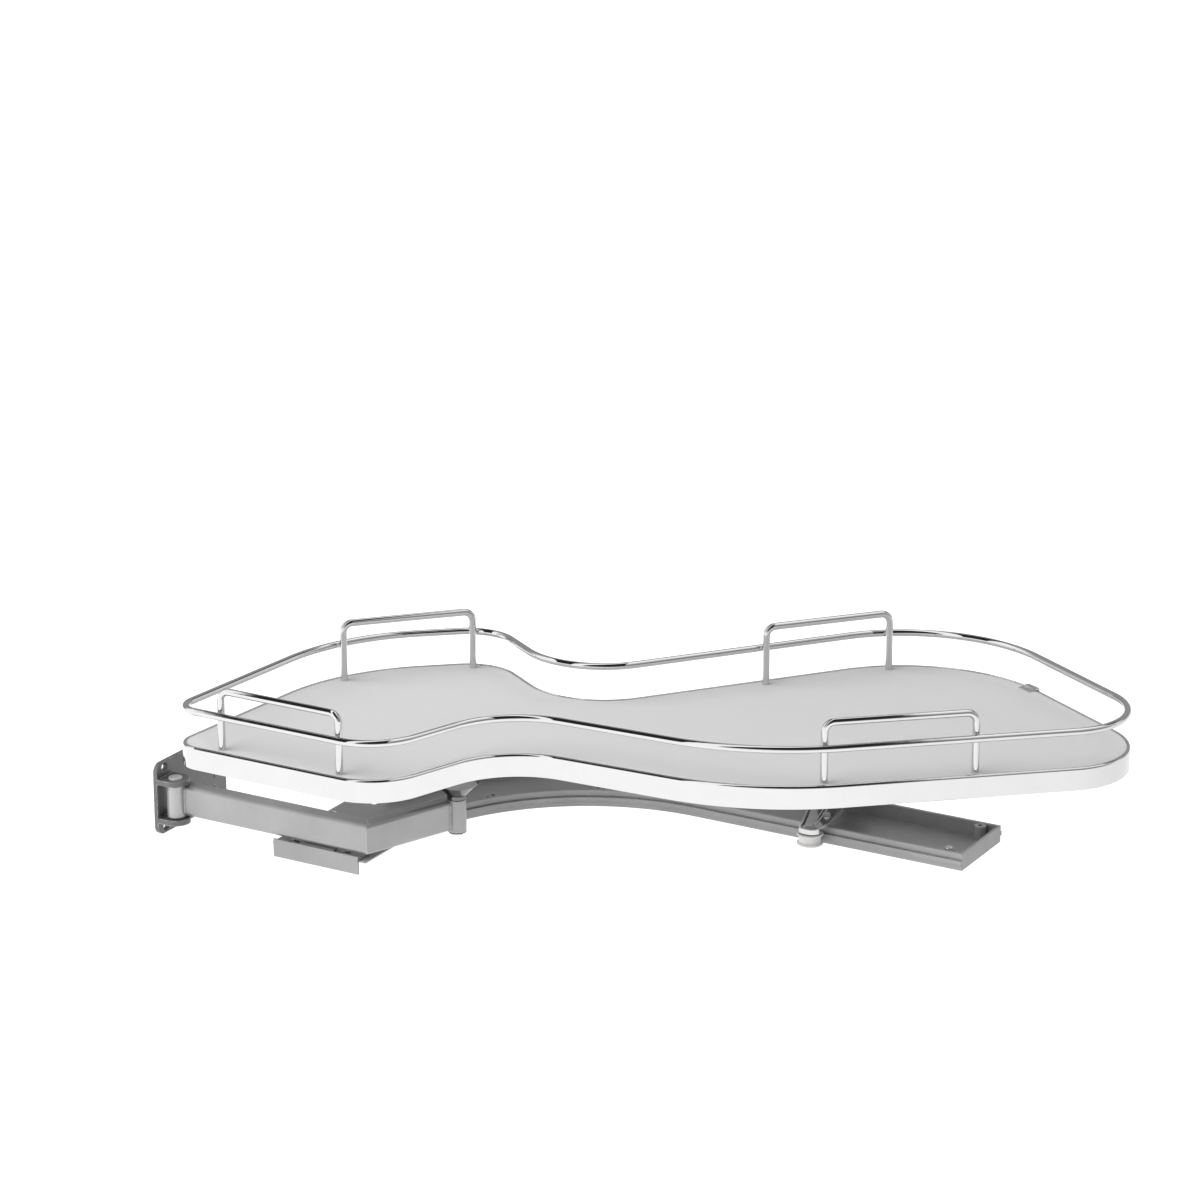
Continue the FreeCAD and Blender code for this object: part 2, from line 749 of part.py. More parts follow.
def track_band(one, other, low, high, angle):
    """A strip of the track between two distances from its front face, from an angle of its bend."""
    centre = Vector(size("bend_x"), size("track_front_y") - size("bend_radius"), low)
    end_x = size("track_end_x")

    def spot(distance, degrees):
        reach = size("bend_radius") + distance
        turn = math.radians(degrees)
        return centre + Vector(reach * math.cos(turn), reach * math.sin(turn), 0)

    near = min(one, other)
    far = max(one, other)
    halfway = (angle + 90) / 2
    near_end = Vector(end_x, spot(near, 90).y, low)
    far_end = Vector(end_x, spot(far, 90).y, low)
    edges = [
        Part.Arc(spot(near, angle), spot(near, halfway), spot(near, 90)).toShape(),
        Part.LineSegment(spot(near, 90), near_end).toShape(),
        Part.LineSegment(near_end, far_end).toShape(),
        Part.LineSegment(far_end, spot(far, 90)).toShape(),
        Part.Arc(spot(far, 90), spot(far, halfway), spot(far, angle)).toShape(),
        Part.LineSegment(spot(far, angle), spot(near, angle)).toShape(),
    ]
    return slab(edges, high - low)


def boss_places():
    """Four screw bosses: a pair by the end wall and a pair along the inside of the front wall."""
    middle = size("track_front_y") + size("track_width") / 2
    aside = size("track_width") / 2 - size("boss_inset")
    end_x = size("track_end_x") - size("boss_end_distance")
    centre = Vector(size("bend_x"), size("track_front_y") - size("bend_radius"), 0)
    reach = size("bend_radius") + size("boss_inset")
    places = [Vector(end_x, middle - aside, 0), Vector(end_x, middle + aside, 0)]
    for angle in (size("boss_angle_low"), size("boss_angle_high")):
        turn = math.radians(angle)
        places.append(centre + Vector(reach * math.cos(turn), reach * math.sin(turn), 0))
    return places


def make_track():
    """Formed tray: floor, two upright walls with a roller rib outside, end wall and screw bosses."""
    width = size("track_width")
    wall = size("track_wall")
    tall = size("track_height")
    bend_left = size("bend_x") - size("bend_radius")
    flank_low = Vector(size("track_left_x"), size("lip_face_y") + size("lip_thickness"), 0)
    flank = Part.makeBox(
        bend_left - flank_low.x, size("track_flank_y") - flank_low.y, size("track_sheet"), flank_low
    )
    end_wall = Part.makeBox(wall, width, tall, Vector(size("track_end_x") - wall, size("track_front_y"), 0))
    solids = [flank, end_wall]
    rib_high = reading(RIB_TOP)
    rib_low = rib_high - size("rib_height")
    sides = ((0, 1, size("front_wall_angle")), (width, -1, size("back_wall_angle")))
    for face, inward, angle in sides:
        rib = face - inward * size("rib_reach")
        skin = face - inward * size("wall_band_reach")
        solids.append(track_band(face, face + inward * wall, 0, tall, angle))
        solids.append(track_band(face, rib, rib_low, rib_high, angle))
        solids.append(track_band(face, skin, 0, rib_low - size("rib_groove"), angle))
        solids.append(track_band(face, skin, rib_high + size("rib_groove"), tall, angle))
    holes = []
    for place in boss_places():
        solids.append(upright(size("boss_radius"), size("boss_height"), place))
        holes.append(upright(size("boss_hole_radius"), size("boss_height"), place))
    left_screw = Vector(size("left_screw_x"), size("left_screw_y"), 0)
    holes.append(upright(size("track_screw_radius") + size("screw_fit"), tall, left_screw))
    for place in rivet_places():
        spot = Vector(reading(place[0]), reading(place[1]), 0)
        holes.append(upright(size("rivet_radius") + size("screw_fit"), tall, spot))
    floor = track_band(0, width, 0, size("track_sheet"), 180)
    return modelled("floor_track", floor.multiFuse(solids).cut(holes).removeSplitter())


def rivet_places():
    """Two rivets that hold the lip on the track's floor."""
    depth = "sizes.lip_face_y + sizes.lip_thickness + sizes.lip_foot / 2"
    left = "sizes.lip_left_x + sizes.rivet_inset"
    right = "sizes.lip_left_x + sizes.lip_length - sizes.rivet_inset"
    return [(left, depth), (right, depth)]


def make_lip():
    """Angle plate that hooks over the front edge of the cabinet floor."""
    face = ("sizes.lip_left_x", "sizes.lip_face_y")
    inside = "sizes.lip_face_y + sizes.lip_thickness"
    plate = box(
        "lip_face", "sizes.lip_length", "sizes.lip_thickness", "sizes.lip_rise + sizes.lip_drop",
        face, "-sizes.lip_drop",
    )
    foot = box(
        "lip_foot_plate", "sizes.lip_length", "sizes.lip_foot", "sizes.track_sheet",
        ("sizes.lip_left_x", inside), "sizes.track_sheet",
    )
    tab_left = "sizes.lip_left_x + (sizes.lip_length - sizes.lip_tab_length) / 2"
    tab = box(
        "lip_tab", "sizes.lip_tab_length", "sizes.lip_tab_depth", "sizes.track_sheet",
        (tab_left, inside), "sizes.lip_rise - sizes.track_sheet",
    )
    holes = [
        cylinder(
            f"lip_hole_{index}", "sizes.rivet_radius + sizes.screw_fit", "sizes.track_sheet * 2",
            place, "sizes.track_sheet / 2",
        )
        for index, place in enumerate(rivet_places(), start=1)
    ]
    return named(cut("lip_cut", joined("lip_body", [plate, foot, tab]), holes), "lip_plate")


def make_rivets():
    """Flat rivets through the lip's foot and the track's floor, flush below."""
    members = []
    for index, place in enumerate(rivet_places(), start=1):
        profile = [
            ("0", "0"),
            ("sizes.rivet_radius", "0"),
            ("sizes.rivet_radius", "sizes.track_sheet * 2"),
            ("sizes.rivet_head_radius", "sizes.track_sheet * 2"),
            ("sizes.rivet_head_radius", "sizes.track_sheet * 2 + sizes.rivet_head_height / 2"),
            ("sizes.rivet_radius", "sizes.track_sheet * 2 + sizes.rivet_head_height"),
            ("0", "sizes.track_sheet * 2 + sizes.rivet_head_height"),
        ]
        members.append(turned(f"lip_rivet_{index}", profile, place, "0"))
    return named(group("lip_rivet_group", members), "lip_rivets")


def fan_outline(inset, low):
    """Plan of the carriage bridge: rounded ends at the rollers, widest at the swivel."""
    end = size("bridge_end_radius")
    half = size("bridge_half_width")
    tip = reading(ROLLER_OFFSET) + end
    middle = Vector(size("carriage_x"), reading(TRACK_MIDDLE), low)
    corners = [
        (middle + Vector(-end, -tip, 0), end),
        (middle + Vector(end, -tip, 0), end),
        (middle + Vector(half, 0, 0), half),
        (middle + Vector(end, tip, 0), end),
        (middle + Vector(-end, tip, 0), end),
        (middle + Vector(-half, 0, 0), half),
    ]
    return rounded_path(moved_in(corners, inset))


def bridge_profile(lift, depth):
    """Side view of the bridge: flat ends, two slopes and a flat crown, as a thick strip."""
    aside = reading(ROLLER_OFFSET)
    base = reading(BRIDGE_BOTTOM) + lift
    rise = size("bridge_crown_rise")
    crown = size("bridge_crown")
    flat = aside - size("bridge_flat_end")
    tip = aside + size("bridge_end_radius") + PAST
    levels = [(-tip, 0), (-flat, 0), (-crown, rise), (crown, rise), (flat, 0), (tip, 0)]
    half = size("bridge_half_width") + PAST
    side = Vector(size("carriage_x") - half, reading(TRACK_MIDDLE), base)
    lower = [side + Vector(0, across_track, level) for across_track, level in levels]
    upper = [spot + Vector(0, 0, depth) for spot in reversed(lower)]
    points = lower + upper
    edges = [
        Part.LineSegment(here, there).toShape()
        for here, there in zip(points, points[1:] + points[:1])
    ]
    return Part.Face(Part.Wire(edges)).extrude(Vector(2 * half, 0, 0))


def make_bridge():
    """Pressed chrome bridge with a raised rim and a bead up each slope."""
    thick = size("bridge_sheet")
    rise = size("bridge_rim_rise")
    bead = size("bead_radius")
    base = reading(BRIDGE_TOP)
    crown = reading(CROWN_TOP)
    plan = slab(fan_outline(0, 0), crown + rise + PAST)
    inner = slab(fan_outline(size("bridge_rim"), 0), crown + rise + PAST)
    web = bridge_profile(0, thick).common(plan)
    rim = bridge_profile(thick, rise).common(plan.cut(inner))
    above = bridge_profile(thick / 2, rise + bead).common(plan)
    middle = Vector(size("carriage_x"), reading(TRACK_MIDDLE), 0)
    aside = reading(ROLLER_OFFSET)
    fit = size("running_clearance")
    beads = []
    holes = [upright(size("swivel_rivet_radius") + fit, crown + PAST, middle)]
    for side in (-1, 1):
        start = middle + Vector(0, side * (aside - size("bridge_flat_end") - bead), base)
        end = middle + Vector(0, side * (size("bridge_crown") - bead), crown)
        rod = Part.makeCylinder(bead, (end - start).Length, start, end - start)
        beads.append(rod.common(above))
        axle = middle + Vector(0, side * aside, 0)
        holes.append(upright(size("axle_radius") + fit, base + PAST, axle))
    solid = web.multiFuse([rim] + beads).cut(holes)
    return modelled("carriage_bridge", solid.removeSplitter())


def make_roller(name, place):
    """White plastic spool: two flanges either side of the rib, recessed top and bottom."""
    bore = "sizes.axle_radius + sizes.running_clearance"
    half = "sizes.roller_height / 2"
    waist = "sizes.roller_waist_height / 2"
    recess = f"{half} - sizes.roller_recess_depth"
    upper = [
        ("sizes.roller_waist", waist),
        ("sizes.roller_flange", f"{waist} + sizes.roller_taper"),
        ("sizes.roller_flange", f"{half} - sizes.roller_edge"),
        ("sizes.roller_flange - sizes.roller_edge", half),
        ("sizes.roller_recess_radius", half),
        ("sizes.roller_recess_radius", recess),
        (bore, recess),
    ]
    lower = [(radius, f"-({level})") for radius, level in reversed(upper)]
    return named(turned(name, lower + upper, place, ROLLER_MIDDLE), name)


def make_axle(name, place):
    """Riveted axle: a head in the roller's lower recess and one on the bridge."""
    foot = f"{ROLLER_BOTTOM} + sizes.roller_recess_depth - sizes.seat_gap"
    head = f"{BRIDGE_TOP} + sizes.axle_head_height"
    profile = [
        ("0", f"{foot} - sizes.axle_head_height"),
        ("sizes.axle_head_radius", f"{foot} - sizes.axle_head_height"),
        ("sizes.axle_head_radius", foot),
        ("sizes.axle_radius", foot),
        ("sizes.axle_radius", BRIDGE_TOP),
        ("sizes.axle_head_radius", BRIDGE_TOP),
        ("sizes.axle_head_radius", f"{head} - sizes.head_edge"),
        ("sizes.axle_head_radius - sizes.head_edge", head),
        ("0", head),
    ]
    return named(turned(name, profile, place, "0"), name)


def make_washer(name, place):
    """Bright washer between roller and bridge."""
    bore = "sizes.axle_radius + sizes.running_clearance"
    profile = [
        (bore, "0"),
        ("sizes.washer_radius", "0"),
        ("sizes.washer_radius", "sizes.washer_height"),
        (bore, "sizes.washer_height"),
    ]
    return named(turned(name, profile, place, f"{ROLLER_TOP} + sizes.seat_gap"), name)


def make_swivel_pin():
    """Upright pin riveted in the bridge's crown; it ends just short of the shelf's swivel plate."""
    under = f"{CROWN_TOP} - sizes.bridge_sheet"
    shoulder = f"{CROWN_TOP} + sizes.swivel_shoulder_height"
    tip = f"{HUB_BOTTOM} - sizes.seat_gap"
    profile = [
        ("0", f"{under} - sizes.axle_head_height"),
        ("sizes.swivel_radius", f"{under} - sizes.axle_head_height"),
        ("sizes.swivel_radius", under),
        ("sizes.swivel_rivet_radius", under),
        ("sizes.swivel_rivet_radius", CROWN_TOP),
        ("sizes.swivel_shoulder_radius", CROWN_TOP),
        ("sizes.swivel_shoulder_radius", shoulder),
        ("sizes.swivel_radius", shoulder),
        ("sizes.swivel_radius", tip),
        ("0", tip),
    ]
    return named(turned("swivel_pin", profile, SWIVEL, "0"), "swivel_pin")


def make_swivel_plate(places):
    """Round plate under the shelf with the hub that the swivel pin carries."""
    profile = [
        ("0", "0"),
        ("sizes.swivel_hub_radius", "0"),
        ("sizes.swivel_hub_radius", "sizes.swivel_hub_height"),
        ("sizes.swivel_plate_radius", "sizes.swivel_hub_height"),
        ("sizes.swivel_plate_radius", "sizes.swivel_hub_height + sizes.swivel_plate_thickness"),
        ("0", "sizes.swivel_hub_height + sizes.swivel_plate_thickness"),
    ]
    disc = turned("swivel_disc", profile, SWIVEL, HUB_BOTTOM)
    holes = [
        cylinder(
            f"swivel_hole_{index}", "sizes.board_screw_radius + sizes.screw_fit",
            "sizes.swivel_plate_thickness * 2", place,
            f"{BOARD_BOTTOM} - sizes.swivel_plate_thickness * 1.5",
        )
        for index, place in enumerate(places, start=1)
    ]
    return named(cut("swivel_plate_cut", disc, holes), "swivel_plate")


def make_pivot_flange(places):
    """Pressed chrome funnel that carries the shelf on its pivot post; its flange reaches inwards."""
    bottom = f"{STACK_TOP} + sizes.seat_gap + sizes.pivot_collar_height"
    height = f"{BOARD_BOTTOM} - ({bottom})"
    sheet_thickness = "sizes.pivot_sheet"
    inner = "sizes.pin_radius + sizes.running_clearance"
    mouth = f"sizes.pivot_cup_radius - {sheet_thickness}"
    ease = f"{sheet_thickness} * tan(atan(sizes.pivot_funnel_rise / "
    ease += "(sizes.pivot_cup_radius - sizes.pivot_collar_radius)) / 2)"
    profile = [
        (inner, "0"),
        ("sizes.pivot_collar_radius", "0"),
        ("sizes.pivot_cup_radius", "sizes.pivot_funnel_rise"),
        ("sizes.pivot_cup_radius", height),
        (mouth, height),
        (mouth, f"sizes.pivot_funnel_rise + {ease}"),
        (f"sizes.pivot_collar_radius - {ease}", sheet_thickness),
        (inner, sheet_thickness),
    ]
    cup = turned("pivot_cup", profile, SHELF_PIVOT, bottom)
    flange_bottom = f"{BOARD_BOTTOM} - {sheet_thickness}"
    flange = cylinder("pivot_plate", "sizes.pivot_flange_radius", sheet_thickness, PIVOT_PLATE, flange_bottom)
    holes = [
        cylinder(
            f"pivot_hole_{index}", "sizes.board_screw_radius + sizes.screw_fit", sheet_thickness,
            place, flange_bottom,
        )
        for index, place in enumerate(places, start=1)
    ]
    holes.append(cylinder("pivot_mouth", mouth, sheet_thickness, SHELF_PIVOT, flange_bottom))
    return named(cut("pivot_flange_cut", joined("pivot_flange_body", [cup, flange]), holes), "pivot_flange")


def make_pivot_post():
    """Steel post that turns in the arm's far barrel, with a chrome collar that bears the shelf."""
    tip = f"{STACK_BOTTOM} - sizes.seat_gap - sizes.pivot_ring_height - sizes.post_tip"
    groove_low = f"{STACK_BOTTOM} - sizes.seat_gap - sizes.pivot_ring_height"
    groove_high = f"{STACK_BOTTOM} - sizes.seat_gap"
    collar = f"{STACK_TOP} + sizes.seat_gap"
    seat = f"{collar} + sizes.pivot_collar_height"
    profile = [
        ("0", tip),
        ("sizes.pin_radius", tip),
        ("sizes.pin_radius", groove_low),
        ("sizes.pin_radius - sizes.ring_groove", groove_low),
        ("sizes.pin_radius - sizes.ring_groove", groove_high),
        ("sizes.pin_radius", groove_high),
        ("sizes.pin_radius", collar),
        ("sizes.pivot_collar_radius", collar),
        ("sizes.pivot_collar_radius", seat),
        ("sizes.pin_radius", seat),
        ("sizes.pin_radius", f"{BOARD_BOTTOM} - sizes.seat_gap"),
        ("0", f"{BOARD_BOTTOM} - sizes.seat_gap"),
    ]
    return named(turned("pivot_post", profile, SHELF_PIVOT, "0"), "pivot_post")


def make_pivot_ring():
    """Open retaining ring in the post's groove, under the barrel."""
    inner = "sizes.pin_radius - sizes.ring_groove + sizes.running_clearance"
    height = f"{STACK_BOTTOM} - sizes.seat_gap - sizes.pivot_ring_height"
    profile = [
        (inner, "0"),
        ("sizes.pivot_ring_radius", "0"),
        ("sizes.pivot_ring_radius", "sizes.pivot_ring_height"),
        (inner, "sizes.pivot_ring_height"),
    ]
    ring = turned("ring_blank", profile, SHELF_PIVOT, height)
    mouth = box(
        "ring_mouth", "sizes.pivot_ring_radius", "sizes.pivot_ring_mouth",
        "sizes.pivot_ring_height",
        ("sizes.shelf_pivot_x", "sizes.shelf_pivot_y - sizes.pivot_ring_mouth / 2"), height,
    )
    return named(cut("ring_cut", ring, [mouth]), "pivot_ring")


def make_arm_pin():
    """Headed pin pressed through both lugs of the wall bracket."""
    low = f"{LUG_LOWER} - sizes.lug_thickness"
    seat = f"{LUG_UPPER} + sizes.lug_thickness"
    top = f"{seat} + sizes.pin_head_height"
    profile = [
        ("0", low),
        ("sizes.pin_radius", low),
        ("sizes.pin_radius", seat),
        ("sizes.pin_head_radius", seat),
        ("sizes.pin_head_radius", f"{top} - sizes.head_edge"),
        ("sizes.pin_head_radius - sizes.head_edge", top),
        ("0", top),
    ]
    return named(turned("arm_pin", profile, PIN, "0"), "arm_pin")


# wall side
make_wall_bracket()
make_arm_pin()

# arm
make_arm_beam()
barrel("wall_barrel", PIN)
barrel("shelf_barrel", SHELF_PIVOT)
for side_name, spot_of in (("wall", PIN), ("shelf", SHELF_PIVOT)):
    bush(f"{side_name}_upper_bush", spot_of, BARREL_TOP, turned_over=False)
    bush(f"{side_name}_lower_bush", spot_of, BARREL_BOTTOM, turned_over=True)

# shelf
post_feet = leg_places()
pivot_screws_at = ring_of(PIVOT_PLATE, "sizes.pivot_hole_circle", 3, size("pivot_hole_turn"))
swivel_screws_at = ring_of(SWIVEL, "sizes.swivel_hole_circle", 4, 45)
make_board(post_feet, pivot_screws_at + swivel_screws_at)
make_edge_band()
make_band_clip()
make_rail()
for post_name, pair in post_feet.items():
    make_post(f"{post_name}_post", pair)
foot_screws = []
for post_name, pair in post_feet.items():
    for number, foot in enumerate(pair, start=1):
        foot_screws.append(fastener(
            f"{post_name}_screw_{number}", (f"{foot.x:.6f}", f"{foot.y:.6f}"), BOARD_BOTTOM,
            "sizes.post_screw_radius", "sizes.board_thickness + sizes.post_screw_engagement",
        ))
named(group("post_screw_group", foot_screws), "post_screws")
make_pivot_flange(pivot_screws_at)
make_pivot_post()
make_pivot_ring()
named(group("pivot_screw_group", [
    fastener(
        f"pivot_screw_{number}", place, f"{BOARD_BOTTOM} - sizes.pivot_sheet",
        "sizes.board_screw_radius", "sizes.board_screw_depth",
    )
    for number, place in enumerate(pivot_screws_at, start=1)
]), "pivot_screws")
make_swivel_plate(swivel_screws_at)
named(group("swivel_screw_group", [
    fastener(
        f"swivel_screw_{number}", place, f"{BOARD_BOTTOM} - sizes.swivel_plate_thickness",
        "sizes.board_screw_radius", "sizes.board_screw_depth",
    )
    for number, place in enumerate(swivel_screws_at, start=1)
]), "swivel_screws")

# floor track
make_track()
make_lip()
make_rivets()
named(group("track_screw_group", [
    fastener(
        "left_track_screw", ("sizes.left_screw_x", "sizes.left_screw_y"), "sizes.track_sheet",
        "sizes.track_screw_radius", "sizes.track_screw_reach", upward=False,
    ),
    fastener(
        "right_track_screw",
        ("sizes.track_end_x - sizes.boss_end_distance",
         "sizes.track_front_y + sizes.boss_inset"),
        "sizes.boss_height", "sizes.track_screw_radius",
        "sizes.boss_height + sizes.track_screw_reach - sizes.track_sheet", upward=False,
    ),
]), "track_screws")

# carriage
make_bridge()
make_swivel_pin()
for side_name, spot_of in (("front", FRONT_ROLLER), ("back", BACK_ROLLER)):
    make_roller(f"{side_name}_roller", spot_of)
    make_axle(f"{side_name}_axle", spot_of)
    make_washer(f"{side_name}_washer", spot_of)

doc.recompute()
doc.removeObject(probe.Name)

faults = [item.Name for item in doc.Objects if {"Invalid", "Error"} & set(item.State)]
faults += [
    piece.Label for piece in pieces if piece.Shape.isNull() or not piece.Shape.isValid()
]
if faults:
    raise RuntimeError("these objects failed: " + ", ".join(faults))

os.makedirs("parts", exist_ok=True)
for piece in pieces:
    piece.Shape.exportStep(os.path.join("parts", piece.Label + ".step"))
print(f"{len(pieces)} sub-parts written")
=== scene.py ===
"""Looks of the blind corner organizer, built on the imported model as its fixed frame."""

import math

import bpy
from mathutils import Matrix, Vector


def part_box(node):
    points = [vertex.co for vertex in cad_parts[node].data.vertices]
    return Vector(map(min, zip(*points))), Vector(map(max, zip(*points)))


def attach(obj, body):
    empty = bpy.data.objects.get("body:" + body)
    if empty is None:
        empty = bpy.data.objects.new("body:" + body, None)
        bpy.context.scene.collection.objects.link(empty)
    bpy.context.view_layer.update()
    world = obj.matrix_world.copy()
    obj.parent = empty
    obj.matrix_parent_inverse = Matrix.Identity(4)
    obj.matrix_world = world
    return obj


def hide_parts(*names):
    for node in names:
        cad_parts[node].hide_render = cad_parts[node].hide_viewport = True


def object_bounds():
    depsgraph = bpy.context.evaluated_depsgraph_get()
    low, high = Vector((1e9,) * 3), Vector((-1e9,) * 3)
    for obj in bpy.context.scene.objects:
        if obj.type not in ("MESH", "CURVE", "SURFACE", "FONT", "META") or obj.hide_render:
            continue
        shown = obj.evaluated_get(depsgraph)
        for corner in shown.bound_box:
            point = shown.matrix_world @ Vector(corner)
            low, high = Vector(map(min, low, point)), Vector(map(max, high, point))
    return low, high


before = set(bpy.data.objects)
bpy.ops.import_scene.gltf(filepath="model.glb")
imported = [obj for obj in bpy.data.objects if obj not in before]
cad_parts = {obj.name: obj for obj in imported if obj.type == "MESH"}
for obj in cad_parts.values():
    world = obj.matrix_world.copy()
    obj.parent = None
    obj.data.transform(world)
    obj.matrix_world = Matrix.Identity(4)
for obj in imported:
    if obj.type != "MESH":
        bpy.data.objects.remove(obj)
cad_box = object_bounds()
scene = bpy.context.scene

# WALL BRACKET
# A steel plate with rounded corners, screwed to the cupboard's side through countersunk holes, with
# two bent lugs for the pin. It is powder coated in a satin grey; its edges are painted lighter, partly
# as coat worn thin and partly as a painted highlight.


def put(tree, kind, inputs, **settings):
    """One shader node; each input takes a plain value or another node's output."""
    made = tree.nodes.new(kind)
    for name, value in settings.items():
        setattr(made, name, value)
    for key, value in inputs.items():
        socket = made.inputs[key]
        if isinstance(value, bpy.types.NodeSocket):
            tree.links.new(value, socket)
        else:
            socket.default_value = value
    return made


def effect(name, inputs, outputs):
    """An empty node group with named sockets: the group, its inputs' node and its outputs' node."""
    tree = bpy.data.node_groups.new(name, "ShaderNodeTree")
    for label, kind, value in inputs:
        tree.interface.new_socket(label, in_out="INPUT", socket_type=kind).default_value = value
    for label, kind in outputs:
        tree.interface.new_socket(label, in_out="OUTPUT", socket_type=kind)
    return tree, tree.nodes.new("NodeGroupInput").outputs, tree.nodes.new("NodeGroupOutput").inputs


def feed(tree, sockets, **values):
    """Links values to named sockets; an underscore in a name stands for a space."""
    for label, value in values.items():
        tree.links.new(value, sockets[label.replace("_", " ")])


def placed(tree, group, **values):
    """An effect put into a material with its own values, named as in feed."""
    made = put(tree, "ShaderNodeGroup", {}, node_tree=group)
    for label, value in values.items():
        made.inputs[label.replace("_", " ")].default_value = value
    return made


def speckle(tree, scale, detail, stretch=(1, 1, 1), distortion=0.0):
    """Noise that is fixed to the piece, from 0 to 1; a higher stretch makes it finer that way."""
    place = put(tree, "ShaderNodeTexCoord", {}).outputs["Object"]
    spread = put(tree, "ShaderNodeMapping", {"Vector": place, "Scale": stretch}).outputs["Vector"]
    noise = put(tree, "ShaderNodeTexNoise", {
        "Vector": spread, "Scale": scale, "Detail": detail, "Distortion": distortion,
    })
    return noise.outputs["Fac"]


def between(tree, value, low, high, out_low=0.0, out_high=1.0):
    """A value stretched from one range to another and held inside it."""
    return put(tree, "ShaderNodeMapRange", {
        "Value": value, "From Min": low, "From Max": high, "To Min": out_low, "To Max": out_high,
    }).outputs["Result"]


def mixed(tree, share, one, other, way="MIX"):
    """Two colours mixed by a share."""
    mix = put(tree, "ShaderNodeMix", {0: share, 6: one, 7: other}, data_type="RGBA", blend_type=way)
    return mix.outputs[2]


def worked(tree, operation, one, other):
    """Plain arithmetic on two values."""
    return put(tree, "ShaderNodeMath", {0: one, 1: other}, operation=operation).outputs[0]


def grey(level, warmth=0.0):
    """A near-neutral colour, from a brightness of 0 to 1."""
    return (level * (1 + warmth), level, level * (1 - warmth), 1.0)


eased_edges, given, outlets = effect(
    "eased_edges", [("Radius", "NodeSocketFloat", 0.0005)],
    [("Edge", "NodeSocketFloat"), ("Normal", "NodeSocketVector")],
)
rounded_normal = put(eased_edges, "ShaderNodeBevel", {"Radius": given["Radius"]}, samples=6).outputs[0]
face_normal = put(eased_edges, "ShaderNodeNewGeometry", {}).outputs["Normal"]
likeness = put(
    eased_edges, "ShaderNodeVectorMath", {0: rounded_normal, 1: face_normal}, operation="DOT_PRODUCT"
).outputs["Value"]
feed(eased_edges, outlets, Edge=between(eased_edges, likeness, 0.99, 0.8), Normal=rounded_normal)

powder_coat, given, outlets = effect(
    "powder_coat",
    [("Colour", "NodeSocketColor", grey(0.4)), ("Thin Colour", "NodeSocketColor", grey(0.6)),
     ("Edge", "NodeSocketFloat", 0.0), ("Gloss Loss", "NodeSocketFloat", 0.4)],
    [("Colour", "NodeSocketColor"), ("Roughness", "NodeSocketFloat"), ("Height", "NodeSocketFloat")],
)
clouds = between(powder_coat, speckle(powder_coat, 22.0, 3.0), 0.3, 0.7, 0.9, 1.06)
flakes = between(powder_coat, speckle(powder_coat, 3800.0, 1.0), 0.3, 0.7, 0.93, 1.07)
shade = worked(powder_coat, "MULTIPLY", clouds, flakes)
shaded = mixed(powder_coat, 1.0, given["Colour"], shade, "MULTIPLY")
edge_patches = between(powder_coat, speckle(powder_coat, 160.0, 4.0), 0.35, 0.6)
# The edge mask broken into patches: a lighter edge colour that is partly worn coat and partly a painted
# highlight.
edge_wear_and_highlight_mask = worked(powder_coat, "MULTIPLY", given["Edge"], edge_patches)
scuffs = between(powder_coat, speckle(powder_coat, 60.0, 6.0, (1, 1, 3), 0.6), 0.5, 0.8, 0.0, 0.12)
feed(
    powder_coat, outlets,
    Colour=mixed(powder_coat, edge_wear_and_highlight_mask, shaded, given["Thin Colour"]),
    Roughness=worked(powder_coat, "ADD", given["Gloss Loss"], scuffs),
    Height=speckle(powder_coat, 650.0, 2.0),
)

COAT_RELIEF = 0.00003


def blank_finish(name):
    """A new material with its node tree and its surface shader."""
    material = bpy.data.materials.new(name)
    material.use_nodes = True
    return material, material.node_tree, material.node_tree.nodes["Principled BSDF"]


def bumped(tree, height, normal, depth):
    """The normal that a height, in metres from peak to valley, leaves on a surface."""
    inputs = {"Height": height, "Distance": depth, "Strength": 1.0}
    if normal is not None:
        inputs["Normal"] = normal
    return put(tree, "ShaderNodeBump", inputs).outputs["Normal"]


def coated(name, colour, edge_wear_and_highlight_colour, dullness, metallic, edge_radius):
    """Powder-coated steel with its edges painted brighter: partly coat worn thin, partly painted highlight.
    """
    material, tree, shader = blank_finish(name)
    edges = placed(tree, eased_edges, Radius=edge_radius)
    coat = placed(tree, powder_coat, Colour=colour, Thin_Colour=edge_wear_and_highlight_colour, Gloss_Loss=dullness)
    feed(tree, coat.inputs, Edge=edges.outputs["Edge"])
    shader.inputs["Metallic"].default_value = metallic
    feed(
        tree, shader.inputs, Base_Color=coat.outputs["Colour"], Roughness=coat.outputs["Roughness"],
        Normal=bumped(tree, coat.outputs["Height"], edges.outputs["Normal"], COAT_RELIEF),
    )
    return material


def dressed(material, *nodes):
    """Gives CAD nodes a finish in every material slot."""
    for name in nodes:
        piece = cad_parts[name]
        piece.data.materials.clear()
        piece.data.materials.append(material)


# The pale edge colour paints bright rims on the lugs and the plate: partly worn coat, partly painted
# highlight.
bracket_coat = coated(
    "bracket_coat", grey(0.14), edge_wear_and_highlight_colour=grey(0.9), dullness=0.34, metallic=0.2, edge_radius=0.0012,
)
dressed(bracket_coat, "wall_bracket")

# ARM PIN
# A steel pin, zinc plated to a satin finish and pressed down through both lugs of the bracket. Its
# low head shows on the upper lug.

satin_zinc = coated(
    "satin_zinc", grey(0.62), edge_wear_and_highlight_colour=grey(0.85), dullness=0.34, metallic=0.4, edge_radius=0.0003,
)
dressed(satin_zinc, "arm_pin")
